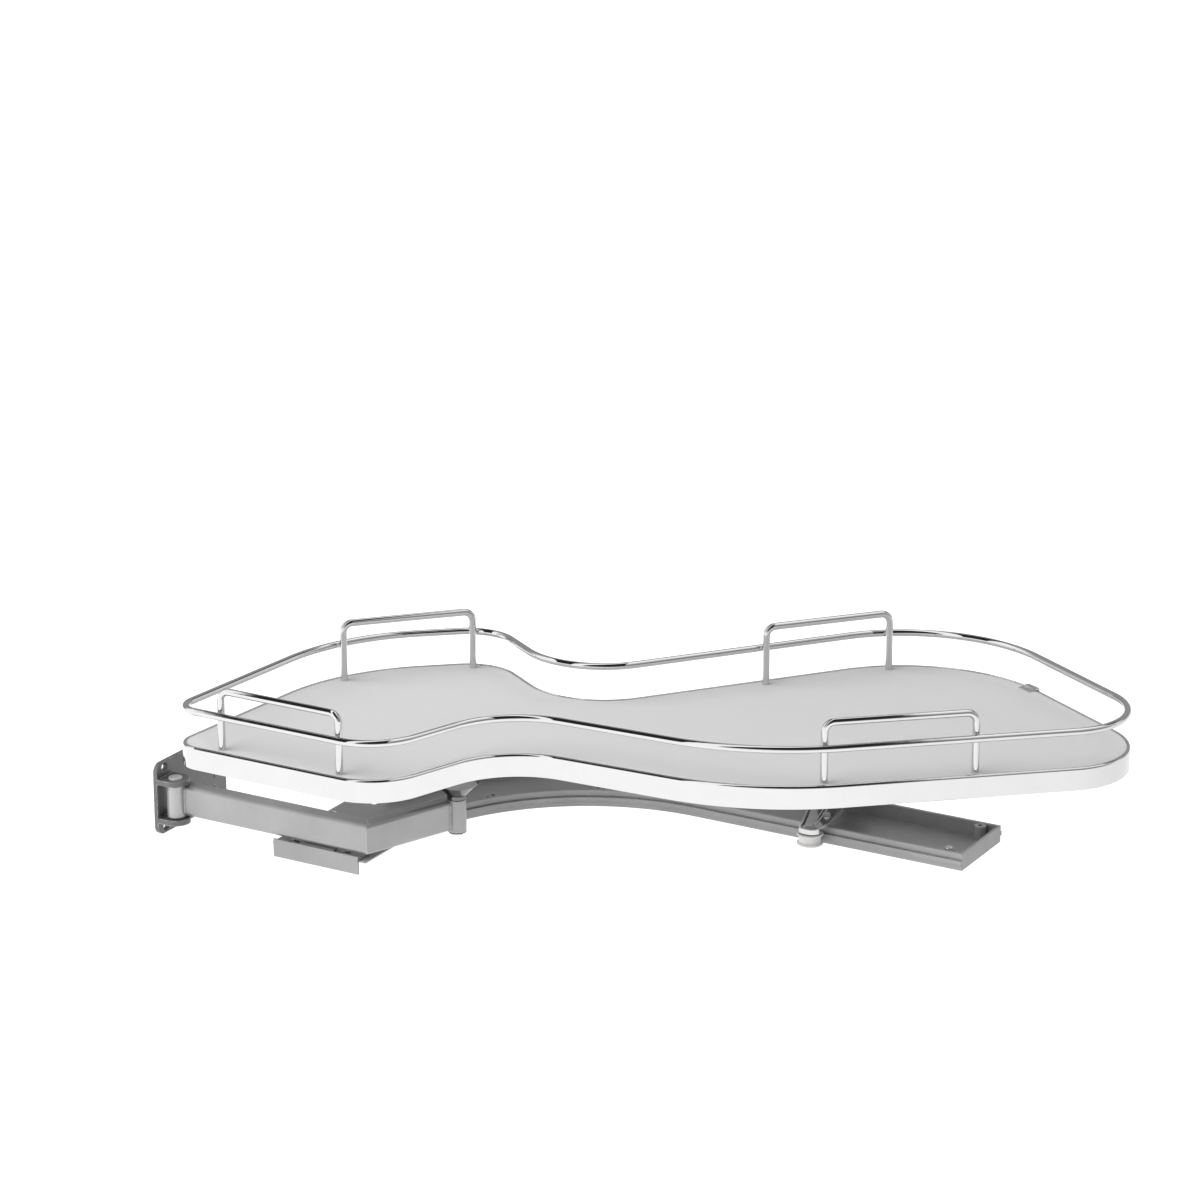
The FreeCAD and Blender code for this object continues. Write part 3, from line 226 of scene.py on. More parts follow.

# SWING ARM
# A pressed steel channel, open to the inside, mitred once and welded at the corner. A bearing tube
# is welded to each end. All of it is powder coated like the bracket, a little brighter; the wall-side
# tube wears a lighter copy of the same coat: painted light.

# The wide edge radius paints light lines along the arm's rounded top and bottom edges: painted highlights,
# with some wear.
arm_coat = coated(
    "arm_coat", grey(0.36), edge_wear_and_highlight_colour=grey(0.88), dullness=0.3, metallic=0.5, edge_radius=0.0015,
)
# A lighter copy of the arm's coat for the wall-side tube: painted light, not a different coat.
arm_coat_painted_lighter = coated(
    "arm_coat_painted_lighter", grey(0.46), edge_wear_and_highlight_colour=grey(0.88), dullness=0.3, metallic=0.4, edge_radius=0.0012,
)
dressed(arm_coat, "swing_arm", "shelf_barrel")
dressed(arm_coat_painted_lighter, "wall_barrel")

ARM_CORNER = Vector((210.0, 0.0))
SHELF_PIVOT = Vector((245.0, 98.0))
ARM_BOTTOM, ARM_TOP = 7.0, 36.5
ARM_DEPTH = 14.0
BARREL_ROOM = 8.7
BARREL_INSET = 1.8
TUBE_BEAD, CORNER_BEAD, TOP_BEAD = 1.1, 0.7, 0.6
TUBE_BEAD_MARGIN, CORNER_BEAD_MARGIN = 0.6, 3.5
WALL_SEAM = (9.2, 0.2)
CORNER_SEAM = (ARM_CORNER.x - 0.4, 0.35)
TOP_SEAM_START, TOP_SEAM_DROP = 4.0, 0.25
BEAD_SIDES = 12

low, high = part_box("arm_pin")
PIN_X, PIN_Y = (low.x + high.x) / 2, (low.y + high.y) / 2
CUPBOARD_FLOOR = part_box("floor_track")[0].z


def at(x, y, height):
    """A place measured from the arm's pin and up from the cupboard floor, in mm, as a model point."""
    return Vector((PIN_X + x / 1000, PIN_Y + y / 1000, CUPBOARD_FLOOR + height / 1000))


def piece_of(name, points, faces, material, body, slot):
    """A new mesh piece with a given finish that rides on a body; slot is not used."""
    mesh = bpy.data.meshes.new(name)
    mesh.from_pydata([tuple(point) for point in points], [], faces)
    mesh.validate()
    mesh.shade_smooth()
    mesh.materials.append(material)
    piece = bpy.data.objects.new(name, mesh)
    scene.collection.objects.link(piece)
    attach(piece, body)
    return piece


def tube(rings, closed=False, capped=False):
    """Points, and the faces that join rings of equally many points from ring to ring."""
    sides = len(rings[0])
    points = [point for ring in rings for point in ring]
    faces = []
    spans = len(rings) if closed else len(rings) - 1
    for here in range(spans):
        ahead = (here + 1) % len(rings)
        for side in range(sides):
            beside = (side + 1) % sides
            faces.append((
                here * sides + side, here * sides + beside, ahead * sides + beside, ahead * sides + side,
            ))
    if capped:
        faces.append(tuple(reversed(range(sides))))
        faces.append(tuple(range((len(rings) - 1) * sides, len(rings) * sides)))
    return points, faces


def turns(count):
    """Angles spread evenly over a full turn."""
    return [2 * math.pi * side / count for side in range(count)]


def weld_bead(start, end, radius, ripple=1.7):
    """A run of weld between two points: a thin bead that swells at every ripple."""
    run = end - start
    length = run.length * 1000
    along = run.normalized()
    one = along.orthogonal().normalized()
    other = along.cross(one)
    steps = max(8, int(length / ripple * 6))
    rings = []
    for step in range(steps + 1):
        share = step / steps
        swell = 1 + 0.16 * math.cos(2 * math.pi * share * length / ripple)
        taper = min(1.0, 0.25 + 6 * min(share, 1 - share))
        size = radius * swell * taper / 1000
        rings.append([
            start + run * share + (one * math.cos(turn) + other * math.sin(turn)) * size
            for turn in turns(BEAD_SIDES)
        ])
    return tube(rings, capped=True)


span = (SHELF_PIVOT - ARM_CORNER).length
lean = math.asin(BARREL_INSET / span)
heading = Matrix.Rotation(-lean, 2) @ (SHELF_PIVOT - ARM_CORNER).normalized()
arm_end = ARM_CORNER + heading * span * math.cos(lean)
shelf_seam = arm_end - heading * (math.sqrt(BARREL_ROOM ** 2 - BARREL_INSET ** 2) + 0.3)
inward = Vector((-heading.y, heading.x))
inner_corner = ARM_CORNER + (Vector((0, 1)) + inward) * ARM_DEPTH / (1 + inward.y)
seams = [
    (name, at(*seam, ARM_BOTTOM + margin), at(*seam, ARM_TOP - margin), radius)
    for name, seam, margin, radius in (
        ("wall_weld", WALL_SEAM, TUBE_BEAD_MARGIN, TUBE_BEAD),
        ("shelf_weld", shelf_seam, TUBE_BEAD_MARGIN, TUBE_BEAD),
        ("corner_weld", CORNER_SEAM, CORNER_BEAD_MARGIN, CORNER_BEAD),
    )
]
top_seam = [
    at(*spot, ARM_TOP - TOP_SEAM_DROP) for spot in ((ARM_CORNER.x, TOP_SEAM_START), inner_corner)
]
for name, start, end, radius in (*seams, ("corner_top_weld", *top_seam, TOP_BEAD)):
    piece_of(name, *weld_bead(start, end, radius), arm_coat, "arm", "arm_coat")

# BUSHES
# Flanged bushes, moulded in dark plastic and pressed into both ends of each bearing tube. Only their
# thin flanges show.

moulding, given, outlets = effect(
    "moulding",
    [("Colour", "NodeSocketColor", grey(0.1)), ("Gloss Loss", "NodeSocketFloat", 0.4)],
    [("Colour", "NodeSocketColor"), ("Roughness", "NodeSocketFloat"), ("Height", "NodeSocketFloat")],
)
flow = between(moulding, speckle(moulding, 45.0, 3.0, (1, 1, 2), 0.8), 0.3, 0.7, 0.9, 1.08)
dull_spots = between(moulding, speckle(moulding, 500.0, 2.0), 0.3, 0.7, -0.05, 0.07)
feed(
    moulding, outlets,
    Colour=mixed(moulding, 1.0, given["Colour"], flow, "MULTIPLY"),
    Roughness=worked(moulding, "ADD", given["Gloss Loss"], dull_spots),
    Height=speckle(moulding, 1400.0, 2.0),
)

PLASTIC_GRAIN = 0.00001
PLASTIC_EDGE = 0.0002
LIGHT_DEPTH = 0.002


def moulded(name, colour, dullness, see_in=0.0):
    """Moulded plastic with a fine grain; see_in is how much light goes in and comes out again."""
    material, tree, shader = blank_finish(name)
    edges = placed(tree, eased_edges, Radius=PLASTIC_EDGE)
    skin = placed(tree, moulding, Colour=colour, Gloss_Loss=dullness)
    if see_in:
        shader.inputs["Subsurface Weight"].default_value = see_in
        shader.inputs["Subsurface Radius"].default_value = (LIGHT_DEPTH, LIGHT_DEPTH, LIGHT_DEPTH)
        shader.inputs["Subsurface Scale"].default_value = 1.0
    feed(
        tree, shader.inputs, Base_Color=skin.outputs["Colour"], Roughness=skin.outputs["Roughness"],
        Normal=bumped(tree, skin.outputs["Height"], edges.outputs["Normal"], PLASTIC_GRAIN),
    )
    return material


bush_plastic = moulded("bush_plastic", grey(0.02), dullness=0.42)
dressed(bush_plastic, "wall_upper_bush", "wall_lower_bush", "shelf_upper_bush", "shelf_lower_bush")

# SHELF BOARD
# An 18 mm board faced on both sides with a pale grey laminate that shows faint brushed streaks and a
# fine pearl texture. Its cut edge sits inside the bright band.

# Each row is a corner of the shelf's outline in plan: x, y and the radius it is rounded to.
SHELF_CORNERS = (
    (8.0, -17.0, 24.0), (234.0, -17.0, 61.0), (281.0, 124.0, 83.0), (529.0, 137.0, 244.0),
    (826.0, 398.0, 70.0), (528.0, 583.0, 144.0), (272.0, 250.0, 76.0), (147.0, 332.0, 53.0),
    (28.0, 232.0, 189.0),
)
OUTLINE_STEP = 1.5
BOARD_TOP = 83.5
BOARD_BOTTOM = 65.5
BOARD_INSET = 3.3
BOARD_EASE = 0.4
LAMINATE_GRAIN = 0.00001


def runs_at(corners, index):
    """The directions of the straight runs into and out of one of some (x, y, radius) corners."""
    before, corner, after = (
        Vector(corners[spot % len(corners)][:2]) for spot in (index - 1, index, index + 1)
    )
    return (corner - before).normalized(), (after - corner).normalized()


def rounded(corners, turn_step, closed=True):
    """Points along straight runs and tangent arcs through (x, y, radius) corners."""
    points = []
    for index, (x, y, radius) in enumerate(corners):
        corner = Vector((x, y))
        if not closed and index in (0, len(corners) - 1):
            points.append(corner)
            continue
        before, after = runs_at(corners, index)
        turn = before.angle(after)
        start = corner - before * radius * math.tan(turn / 2)
        way = 1 if before.cross(after) > 0 else -1
        centre = start + Vector((-before.y, before.x)) * radius * way
        steps = max(1, math.ceil(math.degrees(turn) / turn_step)) if radius else 0
        for step in range(steps + 1):
            spoke = Matrix.Rotation(way * turn * step / max(steps, 1), 2) @ (start - centre)
            points.append(centre + spoke)
    return points


def shelf_line(inset):
    """The shelf's outline in plan, moved in by inset; every inset has equally many points."""
    corners = []
    for index, (x, y, radius) in enumerate(SHELF_CORNERS):
        before, after = runs_at(SHELF_CORNERS, index)
        left_before = Vector((-before.y, before.x))
        left_after = Vector((-after.y, after.x))
        corner = Vector((x, y))
        corner += (left_before + left_after) * inset / (1 + left_before.dot(left_after))
        corners.append((*corner, radius - inset if before.cross(after) > 0 else radius + inset))
    return rounded(corners, OUTLINE_STEP)


def evened(piece):
    """Keeps broad faces flat to the eye beside their small rounded edges."""
    piece.modifiers.new("even_shading", "WEIGHTED_NORMAL").weight = 60
    return piece


laminate, tree, shader = blank_finish("laminate")
streaks = between(tree, speckle(tree, 5.0, 6.0, (1, 16, 1), 0.3), 0.35, 0.7)
pearl = between(tree, speckle(tree, 2600.0, 2.0), 0.3, 0.7)
patches = between(tree, speckle(tree, 4.0, 2.0), 0.3, 0.7)
surface_colour = mixed(tree, streaks, grey(0.705), grey(0.722))
surface_colour = mixed(tree, worked(tree, "MULTIPLY", pearl, 0.3), surface_colour, grey(0.668))
surface_colour = mixed(tree, worked(tree, "MULTIPLY", patches, 0.25), surface_colour, grey(0.732))
shader.inputs["Specular IOR Level"].default_value = 0.45
feed(
    tree, shader.inputs, Base_Color=surface_colour,
    Roughness=between(tree, streaks, 0.0, 1.0, 0.42, 0.52),
    Normal=bumped(tree, pearl, None, LAMINATE_GRAIN),
)

board_line = shelf_line(BOARD_INSET)
face_line = shelf_line(BOARD_INSET + BOARD_EASE)
levels = (
    (face_line, BOARD_BOTTOM), (board_line, BOARD_BOTTOM + BOARD_EASE),
    (board_line, BOARD_TOP - BOARD_EASE), (face_line, BOARD_TOP),
)
layers = [[at(*spot, height) for spot in line] for line, height in levels]
board = evened(piece_of("board", *tube(layers, capped=True), laminate, "shelf", "laminate"))
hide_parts("shelf_board")

# EDGE BAND
# A bright plated steel profile bent round the board's edge, 22 mm high, with a rounded lip that
# stands a little above the laminate. It mirrors the floor, so it looks almost white.

BAND_LOW, BAND_HIGH = 62.5, 84.5
BAND_DEPTH = 3.2
CHROME_WAVES = 0.000006

plating, given, outlets = effect(
    "plating",
    [("Colour", "NodeSocketColor", grey(0.8)), ("Haze", "NodeSocketFloat", 0.06),
     ("Smears", "NodeSocketFloat", 0.04)],
    [("Colour", "NodeSocketColor"), ("Roughness", "NodeSocketFloat"), ("Height", "NodeSocketFloat")],
)
film = between(plating, speckle(plating, 35.0, 5.0, (1, 1, 1), 1.2), 0.4, 0.75)
tarnish = between(plating, film, 0.0, 1.0, 1.0, 0.975)
feed(
    plating, outlets,
    Colour=mixed(plating, 1.0, given["Colour"], tarnish, "MULTIPLY"),
    Roughness=worked(plating, "ADD", given["Haze"], worked(plating, "MULTIPLY", film, given["Smears"])),
    Height=speckle(plating, 90.0, 2.0),
)


def plated(name, colour, haze, smears, waviness, edge_radius=None):
    """Bright plated metal with a faint film and a slightly wavy face."""
    material, tree, shader = blank_finish(name)
    skin = placed(tree, plating, Colour=colour, Haze=haze, Smears=smears)
    normal = None
    if edge_radius:
        normal = placed(tree, eased_edges, Radius=edge_radius).outputs["Normal"]
    shader.inputs["Metallic"].default_value = 1.0
    feed(
        tree, shader.inputs, Base_Color=skin.outputs["Colour"], Roughness=skin.outputs["Roughness"],
        Normal=bumped(tree, skin.outputs["Height"], normal, waviness),
    )
    return material


def round_the_shelf(profile):
    """A closed profile of (inset, height) corners carried round the shelf's outline."""
    lines = [shelf_line(inset) for inset, _ in profile]
    rings = [
        [at(*lines[side][spot], height) for side, (_, height) in enumerate(profile)]
        for spot in range(len(lines[0]))
    ]
    return tube(rings, closed=True)


band_profile = rounded(
    [(0.0, BAND_HIGH, 2.6), (0.0, BAND_LOW, 0.9), (BAND_DEPTH, BAND_LOW, 0.4), (BAND_DEPTH, BAND_HIGH, 0.5)],
    turn_step=9,
)
band_chrome = plated("band_chrome", grey(0.66), haze=0.03, smears=0.04, waviness=CHROME_WAVES)
band = evened(piece_of("band", *round_the_shelf(band_profile), band_chrome, "shelf", "band_chrome"))
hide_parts("edge_band")

# BAND CLIP
# A small clip, bent from the same bright sheet and pushed over the joint of the band at the back
# right.

clip_chrome = plated(
    "clip_chrome", grey(0.68), haze=0.1, smears=0.08, waviness=0.00002, edge_radius=0.0003,
)
dressed(clip_chrome, "band_clip")

# GALLERY RAIL
# A closed loop of 7 mm steel wire, bright chromed, that follows the board's outline above its edge
# and is welded to the posts' legs.

WIRE_RADIUS = 3.5
WIRE_SIDES = 20
RAIL_INSET = 4.0
RAIL_MIDDLE = BOARD_TOP + 34.5

wire_round = [
    (WIRE_RADIUS * math.cos(turn), WIRE_RADIUS * math.sin(turn)) for turn in turns(WIRE_SIDES)
]
wire_chrome = plated("wire_chrome", grey(0.64), haze=0.03, smears=0.04, waviness=CHROME_WAVES)
rail_profile = [(RAIL_INSET + out, RAIL_MIDDLE + up) for out, up in wire_round]
rail = piece_of("rail", *round_the_shelf(rail_profile), wire_chrome, "shelf", "wire_chrome")
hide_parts("gallery_rail")

# GALLERY POSTS
# Four loops bent from the same wire, 57 mm high. Their legs stand inside the rail, are welded to it
# where they cross, and are screwed to the board from below.

POST_HEIGHT = 57.0
POST_BEND = 9.0
POST_FEET = {
    "front_left_post": ((58.0, -5.9), (186.0, -5.9)),
    "back_left_post": ((47.973, 211.43), (135.356, 304.961)),
    "back_right_post": ((403.503, 402.844), (486.18, 500.556)),
    "front_right_post": ((572.843, 191.051), (678.374, 283.046)),
}
WELD_DEEP, WELD_WIDE, WELD_TALL = 1.8, 2.8, 3.1
WELD_LEVELS = 10
WELD_SIDES = 16


def bent_wire(path, side):
    """Round wire along a path that lies in one upright plane; side is that plane's normal."""
    rings = []
    for index, spot in enumerate(path):
        back = path[max(index - 1, 0)]
        ahead = path[min(index + 1, len(path) - 1)]
        across = (ahead - back).normalized().cross(side)
        rings.append([spot + (across * out + side * over) / 1000 for out, over in wire_round])
    return tube(rings, capped=True)


def nearest_on(line, foot):
    """The point of a closed line that lies nearest to a foot."""
    spots = []
    for one, other in zip(line, line[1:] + line[:1]):
        edge = other - one
        share = max(0.0, min(1.0, (foot - one).dot(edge) / edge.length_squared))
        spots.append(one + edge * share)
    return min(spots, key=lambda spot: (spot - foot).length)


def weld_lump(middle, outward):
    """A rounded lump of weld between a leg and the rail outside it."""
    out = Vector((outward.x, outward.y, 0))
    along = Vector((-outward.y, outward.x, 0))
    rings = []
    for level in range(1, WELD_LEVELS):
        tilt = math.pi * level / WELD_LEVELS
        rings.append([
            middle + (out * math.cos(tilt) * WELD_DEEP + (
                along * math.cos(turn) * WELD_WIDE + Vector((0, 0, 1)) * math.sin(turn) * WELD_TALL
            ) * math.sin(tilt)) / 1000
            for turn in turns(WELD_SIDES)
        ])
    return tube(rings, capped=True)


def joined(parts):
    """Several sets of points and faces as one."""
    points, faces = [], []
    for more_points, more_faces in parts:
        offset = len(points)
        points.extend(more_points)
        faces.extend(tuple(index + offset for index in face) for face in more_faces)
    return points, faces


lumps = []
rail_line = shelf_line(RAIL_INSET)
for name, feet in POST_FEET.items():
    near, far = (Vector(foot) for foot in feet)
    length = (far - near).length
    reach = (far - near) / length
    bends = rounded(
        [(0, BOARD_TOP, 0), (0, BOARD_TOP + POST_HEIGHT, POST_BEND),
         (length, BOARD_TOP + POST_HEIGHT, POST_BEND), (length, BOARD_TOP, 0)],
        turn_step=5, closed=False,
    )
    path = [at(*(near + reach * along), height) for along, height in bends]
    path[1:1] = [path[0].lerp(path[1], 0.01)]
    path[-1:-1] = [path[-1].lerp(path[-2], 0.01)]
    loop = bent_wire(path, Vector((-reach.y, reach.x, 0)))
    post = piece_of(name.replace("_post", "_loop"), *loop, wire_chrome, "shelf", "wire_chrome")
    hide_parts(name)
    for foot in (near, far):
        touch = nearest_on(rail_line, foot)
        lumps.append(weld_lump(at(*((touch + foot) / 2), RAIL_MIDDLE), (touch - foot).normalized()))
weld_chrome = plated("weld_chrome", grey(0.58), haze=0.12, smears=0.12, waviness=0.0001)
piece_of("rail_welds", *joined(lumps), weld_chrome, "shelf", "wire_chrome")

# SCREWS IN THE BOARD
# Zinc-plated pan heads with a cross recess: one up into each post's foot, three in the pivot flange
# and four in the swivel plate.

HEAD_RADIUS, HEAD_HEIGHT = 3.6, 2.2
HEAD_SIDES = 48
# Each row is a ring of a head, in shares of its radius and height: how far it reaches, half the
# width of the cross there (None where the ring is round), and how high it lies.
HEAD_RINGS = (
    (1.0, None, 0.0), (1.0, None, 0.45), (0.95, None, 0.72), (0.8, None, 0.93), (0.62, None, 1.0),
    (0.55, 0.13, 1.0), (0.4, 0.09, 0.35), (0.04, None, 0.3),
)
FLANGE_CENTRE = (232.7, 102.1)
FLANGE_SCREW_CIRCLE = 29.5
FLANGE_THICK = 2.0
SWIVEL = (536.5, 292.3)
SWIVEL_SCREW_CIRCLE = 20.0
SWIVEL_THICK = 2.5


def cross_reach(turn, arm, half_width):
    """How far a cross-shaped recess reaches in a direction."""
    turn = turn % (math.pi / 2)
    turn = min(turn, math.pi / 2 - turn)
    if math.tan(turn) * arm <= half_width:
        return arm / math.cos(turn)
    return half_width / math.sin(turn)


def screw_head(x, y, seat, upward):
    """One pan head on a seat height; an upward screw hangs its head below it."""
    directions = [2 * math.pi * (side + 0.5) / HEAD_SIDES for side in range(HEAD_SIDES)]
    if upward:
        directions.reverse()
    rings = []
    for wide, cross, up in HEAD_RINGS:
        ring = []
        for turn in directions:
            reach = HEAD_RADIUS * wide
            if cross:
                reach = cross_reach(turn, reach, HEAD_RADIUS * cross)
            height = seat + (-HEAD_HEIGHT if upward else HEAD_HEIGHT) * up
            ring.append(at(x + reach * math.cos(turn), y + reach * math.sin(turn), height))
        rings.append(ring)
    return tube(rings, capped=True)


def circle_places(centre, radius, count, first=0.0):
    """Places spread evenly on a circle, from a first angle in degrees."""
    angles = [math.radians(first + 360 / count * index) for index in range(count)]
    return [(centre[0] + radius * math.cos(turn), centre[1] + radius * math.sin(turn)) for turn in angles]


zinc = plated("zinc", grey(0.66), haze=0.2, smears=0.1, waviness=0.00002, edge_radius=0.0003)
post_feet = [foot for pair in POST_FEET.values() for foot in pair]
flange_screws = circle_places(FLANGE_CENTRE, FLANGE_SCREW_CIRCLE, 3, first=162)
swivel_screws = circle_places(SWIVEL, SWIVEL_SCREW_CIRCLE, 4, first=45)
for name, places, seat, node in (
    ("post_screw_heads", post_feet, BOARD_BOTTOM, "post_screws"),
    ("pivot_screw_heads", flange_screws, BOARD_BOTTOM - FLANGE_THICK, "pivot_screws"),
    ("swivel_screw_heads", swivel_screws, BOARD_BOTTOM - SWIVEL_THICK, "swivel_screws"),
):
    row = joined(screw_head(*place, seat, upward=True) for place in places)
    heads = evened(piece_of(name, *row, zinc, "shelf", "zinc"))
    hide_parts(node)

# PIVOT UNDER THE SHELF
# A pressed chrome cup, screwed to the board, on a steel post whose collar bears on the arm's far tube;
# an open ring holds the post below. A round plate with a hub takes the carriage's pin.
# The cup, its flange plate and the post wear chrome painted dark: painted shade.

CUP_BORE = 5.1
CUP_INNER, CUP_OUTER = 19.1, 20.9
CUP_FLOOR = 2.0
CUP_RIM_DROP = 1.9
FLANGE_RADIUS = 35.0
FLANGE_SIDES = 96
FLANGE_GAP = 0.02


def turned_piece(name, profile, centre, material, body, slot, sides=72):
    """A lathe part: a closed profile of (radius, height) corners in mm, turned about an upright axis."""
    rings = [
        [
            centre + Vector((radius * math.cos(turn), radius * math.sin(turn), height)) / 1000
            for turn in turns(sides)
        ]
        for radius, height in profile
    ]
    return evened(piece_of(name, *tube(rings, closed=True), material, body, slot))


pressed_chrome = plated(
    "pressed_chrome", grey(0.6), haze=0.05, smears=0.06, waviness=0.00003, edge_radius=0.0004,
)
# A darker copy of the pressed chrome for the pieces under the shelf: painted shade.
chrome_with_painted_shade = plated(
    "chrome_with_painted_shade", grey(0.16), haze=0.05, smears=0.05, waviness=0.00003, edge_radius=0.0004,
)
dressed(pressed_chrome, "swivel_plate")
dressed(chrome_with_painted_shade, "pivot_post")
dressed(zinc, "pivot_ring")
low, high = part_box("pivot_flange")
cup_rim = (high.z - low.z) * 1000 - CUP_RIM_DROP
cup = turned_piece(
    "pivot_cup",
    rounded(
        [(CUP_BORE, 0, 0.3), (9.4, 0, 1.4), (CUP_OUTER, 11.6, 3.0), (CUP_OUTER, cup_rim, 0.0),
         (CUP_INNER, cup_rim, 0.0), (CUP_INNER, 12.4, 2.0), (8.6, CUP_FLOOR, 1.0),
         (CUP_BORE, CUP_FLOOR, 0.3)],
        turn_step=12,
    ),
    at(*SHELF_PIVOT, 0) + Vector((0, 0, low.z - CUPBOARD_FLOOR)), chrome_with_painted_shade, "shelf", "pressed_chrome",
)
flange_round = circle_places(FLANGE_CENTRE, FLANGE_RADIUS, FLANGE_SIDES)
mouth_round = circle_places(SHELF_PIVOT, CUP_INNER, FLANGE_SIDES)
layers = [
    [at(*spot, height) for spot in line]
    for line, height in (
        (mouth_round, BOARD_BOTTOM - FLANGE_GAP), (flange_round, BOARD_BOTTOM - FLANGE_GAP),
        (flange_round, BOARD_BOTTOM - FLANGE_THICK), (mouth_round, BOARD_BOTTOM - FLANGE_THICK),
    )
]
evened(piece_of(
    "pivot_flange_plate", *tube(layers, closed=True), chrome_with_painted_shade, "shelf", "pressed_chrome",
))
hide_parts("pivot_flange")

# FLOOR TRACK
# A tray formed from one steel strip, in a satin dark grey coat: a flat floor, two walls with a rib and
# two shallow bands outside, an end wall and bored bosses.

track_coat = coated(
    "track_coat", grey(0.335), edge_wear_and_highlight_colour=grey(0.6), dullness=0.42, metallic=0.05, edge_radius=0.0006,
)
dressed(track_coat, "floor_track")

# LIP AND ITS RIVETS
# A steel angle, in a lighter satin grey coat, that hooks over the floor panel's front edge. Two flat
# zinc-plated rivets hold it to the track.

lip_coat = coated(
    "lip_coat", grey(0.32), edge_wear_and_highlight_colour=grey(0.6), dullness=0.33, metallic=0.35, edge_radius=0.0005,
)
dressed(lip_coat, "lip_plate")
dressed(zinc, "lip_rivets")

# SCREWS IN THE TRACK
# Two zinc-plated pan heads with a cross recess that hold the track to the floor panel: one in the
# tray's left floor, one on the front boss.

# Each row is a head: x, y and the height of its seat.
TRACK_HEADS = ((116.3, 85.7, 1.6), (666.0, 258.5, 15.5))

row = joined(screw_head(*head, upward=False) for head in TRACK_HEADS)
heads = evened(piece_of("track_screw_heads", *row, zinc, "mount", "zinc"))
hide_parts("track_screws")

# CARRIAGE
# A pressed chrome bridge with a raised rim and a bead up each slope; riveted axles carry two grooved
# rollers of white nylon, and an upright pin on the crown carries the shelf.

ROLLER_RADIUS, GROOVE_RADIUS, HUB_RADIUS, BORE_RADIUS = 12.2, 10.0, 7.0, 3.05
ROLLER_HALF, GROOVE_HALF = 5.5, 2.6
GROOVE_SLOPE = 1.2
HUB_DEPTH = 1.6

dressed(pressed_chrome, "carriage_bridge", "swivel_pin")
# The washers and axles wear the chrome painted dark: painted shade.
dressed(chrome_with_painted_shade, "front_washer", "back_washer", "front_axle", "back_axle")
roller_plastic = moulded("roller_plastic", grey(0.72, 0.01), dullness=0.36, see_in=0.15)
# Each row is a corner of the roller's upper half: its radius, its height and its rounding.
upper = [
    (GROOVE_RADIUS, GROOVE_HALF, 0.4), (ROLLER_RADIUS, GROOVE_HALF + GROOVE_SLOPE, 0.5),
    (ROLLER_RADIUS, ROLLER_HALF, 0.8), (HUB_RADIUS, ROLLER_HALF, 0.4),
    (HUB_RADIUS, ROLLER_HALF - HUB_DEPTH, 0.3), (BORE_RADIUS, ROLLER_HALF - HUB_DEPTH, 0.2),
]
lower = [(radius, -height, ease) for radius, height, ease in reversed(upper)]
for side in ("front", "back"):
    low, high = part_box(f"{side}_roller")
    spool = turned_piece(
        f"{side}_spool", rounded(lower + upper, turn_step=15), (low + high) / 2, roller_plastic,
        f"{side}_wheel", "roller_plastic",
    )
    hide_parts(f"{side}_roller")

# FLOOR, LIGHT AND CAMERA
# A white glowing floor as on a light table, whose glow in reflections is painted darker towards the
# back right as a painted shadow of the shelf; a pale dome that is dim on the right and the far side
# and dark overhead but for one lit strip, and one large soft lamp that shows in no reflection.

FLOOR_REACH = 40.0
FLOOR_GLOW = 1.1
FLOOR_FOR_DIFFUSE, FLOOR_GLOW_IN_PAINTED_SHADOW = 0.8, 0.76
UP, RIGHT, LEFT, FRONT = (0.0, 0.0, 1.0), (1.0, 0.0, 0.0), (-1.0, 0.0, 0.0), (0.0, -1.0, 0.0)
DOME_STRENGTH = 1.36
LAMP_WATTS, LAMP_SIDE = 150.0, 4.0
LAMP_PLACE, LAMP_AIM = Vector((-1.9, -2.2, 2.6)), Vector((0.4, 0.2, 0.0))
CAMERA_PLACE = (2066.6, -2807.2, 1341.4)
CAMERA_TILT, CAMERA_TURN = math.radians(72.0), math.radians(29.9)

floor_mesh = bpy.data.meshes.new("studio_floor")
level = cad_box[0].z
floor_mesh.from_pydata(
    [(x * FLOOR_REACH, y * FLOOR_REACH, level) for x, y in ((-1, -1), (1, -1), (1, 1), (-1, 1))], [],
    [(0, 1, 2, 3)],
)
paper, tree, shader = blank_finish("paper")
shader.inputs["Specular IOR Level"].default_value = 0.0
shader.inputs["Emission Strength"].default_value = FLOOR_GLOW
place = put(tree, "ShaderNodeTexCoord", {}).outputs["Object"]
back_right = put(tree, "ShaderNodeVectorMath", {0: place, 1: (0.5, 0.87, 0.0)}, operation="DOT_PRODUCT")
ray = put(tree, "ShaderNodeLightPath", {}).outputs
# In reflections the floor's glow is painted darker towards the back right: a painted shadow under the shelf.
painted_shadow_share = between(tree, back_right.outputs["Value"], 0.35, 1.0)
glow = mixed(tree, painted_shadow_share, grey(1.0), grey(FLOOR_GLOW_IN_PAINTED_SHADOW))
glow = mixed(tree, ray["Is Diffuse Ray"], glow, grey(FLOOR_FOR_DIFFUSE))
feed(
    tree, shader.inputs, Base_Color=mixed(tree, speckle(tree, 3.0, 2.0), grey(0.28), grey(0.30)),
    Emission_Color=mixed(tree, ray["Is Camera Ray"], glow, grey(1.0)),
    Roughness=between(tree, speckle(tree, 300.0, 1.0), 0.3, 0.7, 0.85, 0.95),
)
floor_mesh.materials.append(paper)
studio_floor = bpy.data.objects.new("studio_floor", floor_mesh)
scene.collection.objects.link(studio_floor)

dome = bpy.data.worlds.new("soft_dome")
dome.use_nodes = True
tree = dome.node_tree
direction = put(tree, "ShaderNodeTexCoord", {}).outputs["Generated"]


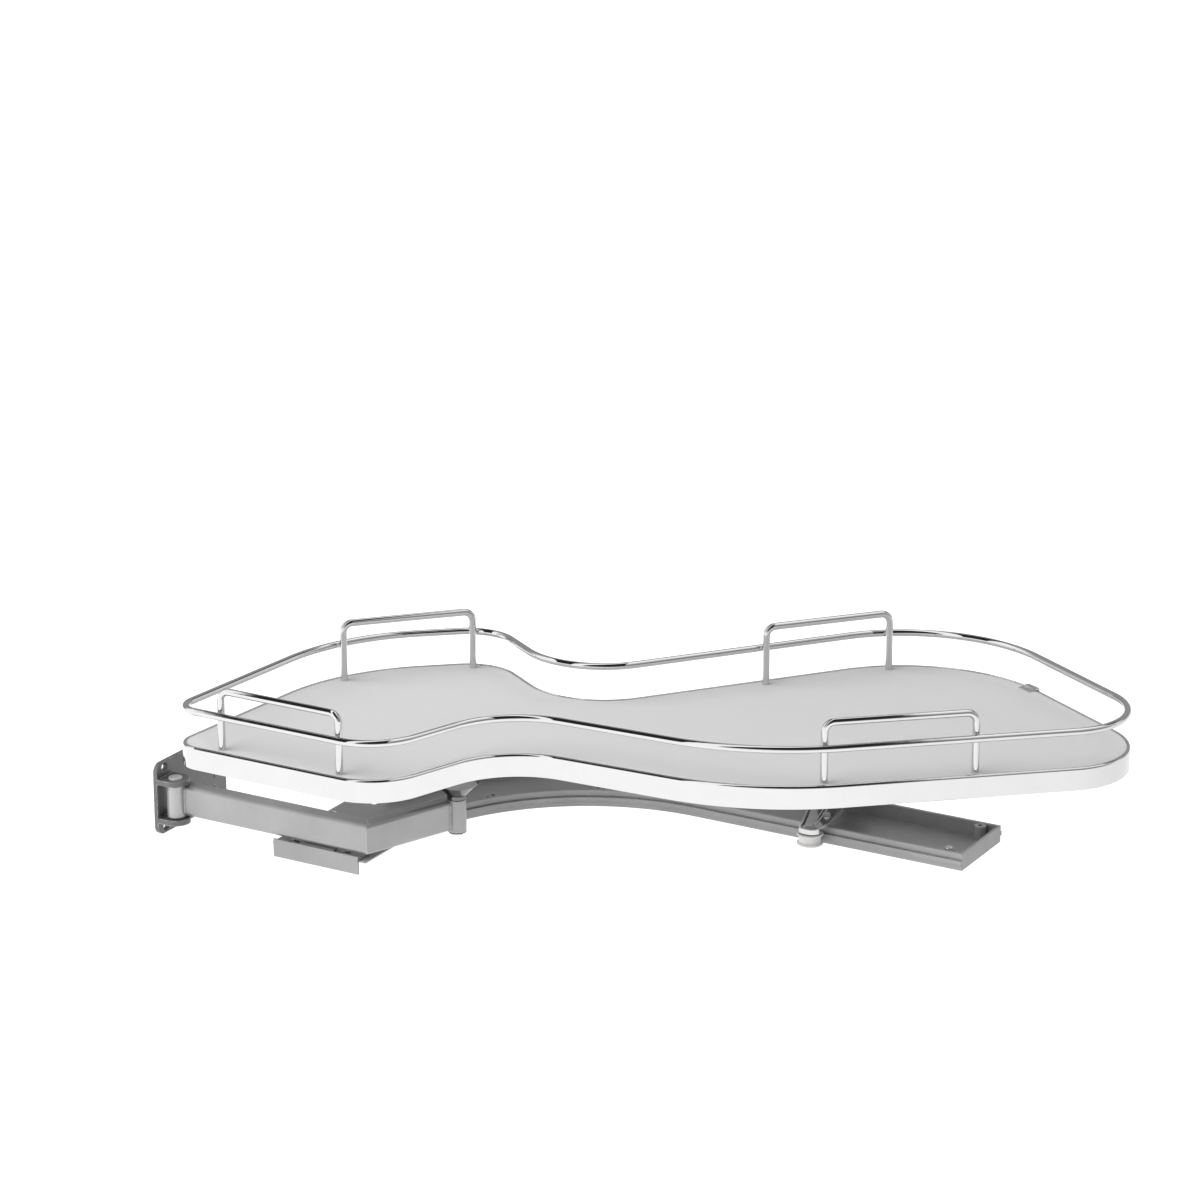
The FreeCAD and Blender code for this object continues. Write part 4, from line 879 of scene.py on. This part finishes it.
def zone(*bounds):
    """The part of the dome inside all bounds; each fades in along its axis, from low to high."""
    inside = None
    for axis, low, high in bounds:
        along = put(tree, "ShaderNodeVectorMath", {0: direction, 1: axis}, operation="DOT_PRODUCT")
        share = between(tree, along.outputs["Value"], low, high)
        inside = share if inside is None else worked(tree, "MULTIPLY", inside, share)
    return inside


ceiling = zone(
    (UP, 0.25, 0.28), (FRONT, -0.42, -0.4), (RIGHT, -0.562, -0.554),
    ((-0.751, -0.66, 0.0), -0.266, -0.258),
)
lit_strip = zone((RIGHT, -0.25, -0.23), (LEFT, -0.03, -0.01))
light = grey(1.0)
for part, brightness in (
    (zone(((0.95, -0.31, 0.0), 0.25, 0.8)), 0.26),
    (zone(((-0.4985, 0.8669, 0.0), 0.2, 0.5), ((0.0, 0.0, -1.0), -0.82, -0.78)), 0.28),
    (worked(tree, "MULTIPLY", ceiling, worked(tree, "SUBTRACT", 1.0, lit_strip)), 0.02),
    (zone(((0.43, 0.66, 0.61), 0.968, 0.975), (UP, 0.5, 0.52)), 0.05),
):
    light = mixed(tree, part, light, grey(brightness))
background = tree.nodes["Background"].inputs
tree.links.new(light, background["Color"])
background["Strength"].default_value = DOME_STRENGTH
scene.world = dome

lamp_data = bpy.data.lights.new("soft_panel", "AREA")
lamp_data.shape = "RECTANGLE"
lamp_data.size = LAMP_SIDE
lamp_data.size_y = LAMP_SIDE
lamp_data.energy = LAMP_WATTS
lamp = bpy.data.objects.new("soft_panel", lamp_data)
lamp.location = LAMP_PLACE
lamp.visible_glossy = False
lamp.rotation_euler = (LAMP_AIM - LAMP_PLACE).to_track_quat("-Z", "Y").to_euler()
scene.collection.objects.link(lamp)

camera_data = bpy.data.cameras.new("view")
camera_data.lens = 120.0
camera_data.sensor_width = 36.0
camera = bpy.data.objects.new("view", camera_data)
camera.location = at(*CAMERA_PLACE)
camera.rotation_euler = (CAMERA_TILT, 0.0, CAMERA_TURN)
scene.collection.objects.link(camera)
scene.camera = camera
scene.view_settings.view_transform = "Standard"
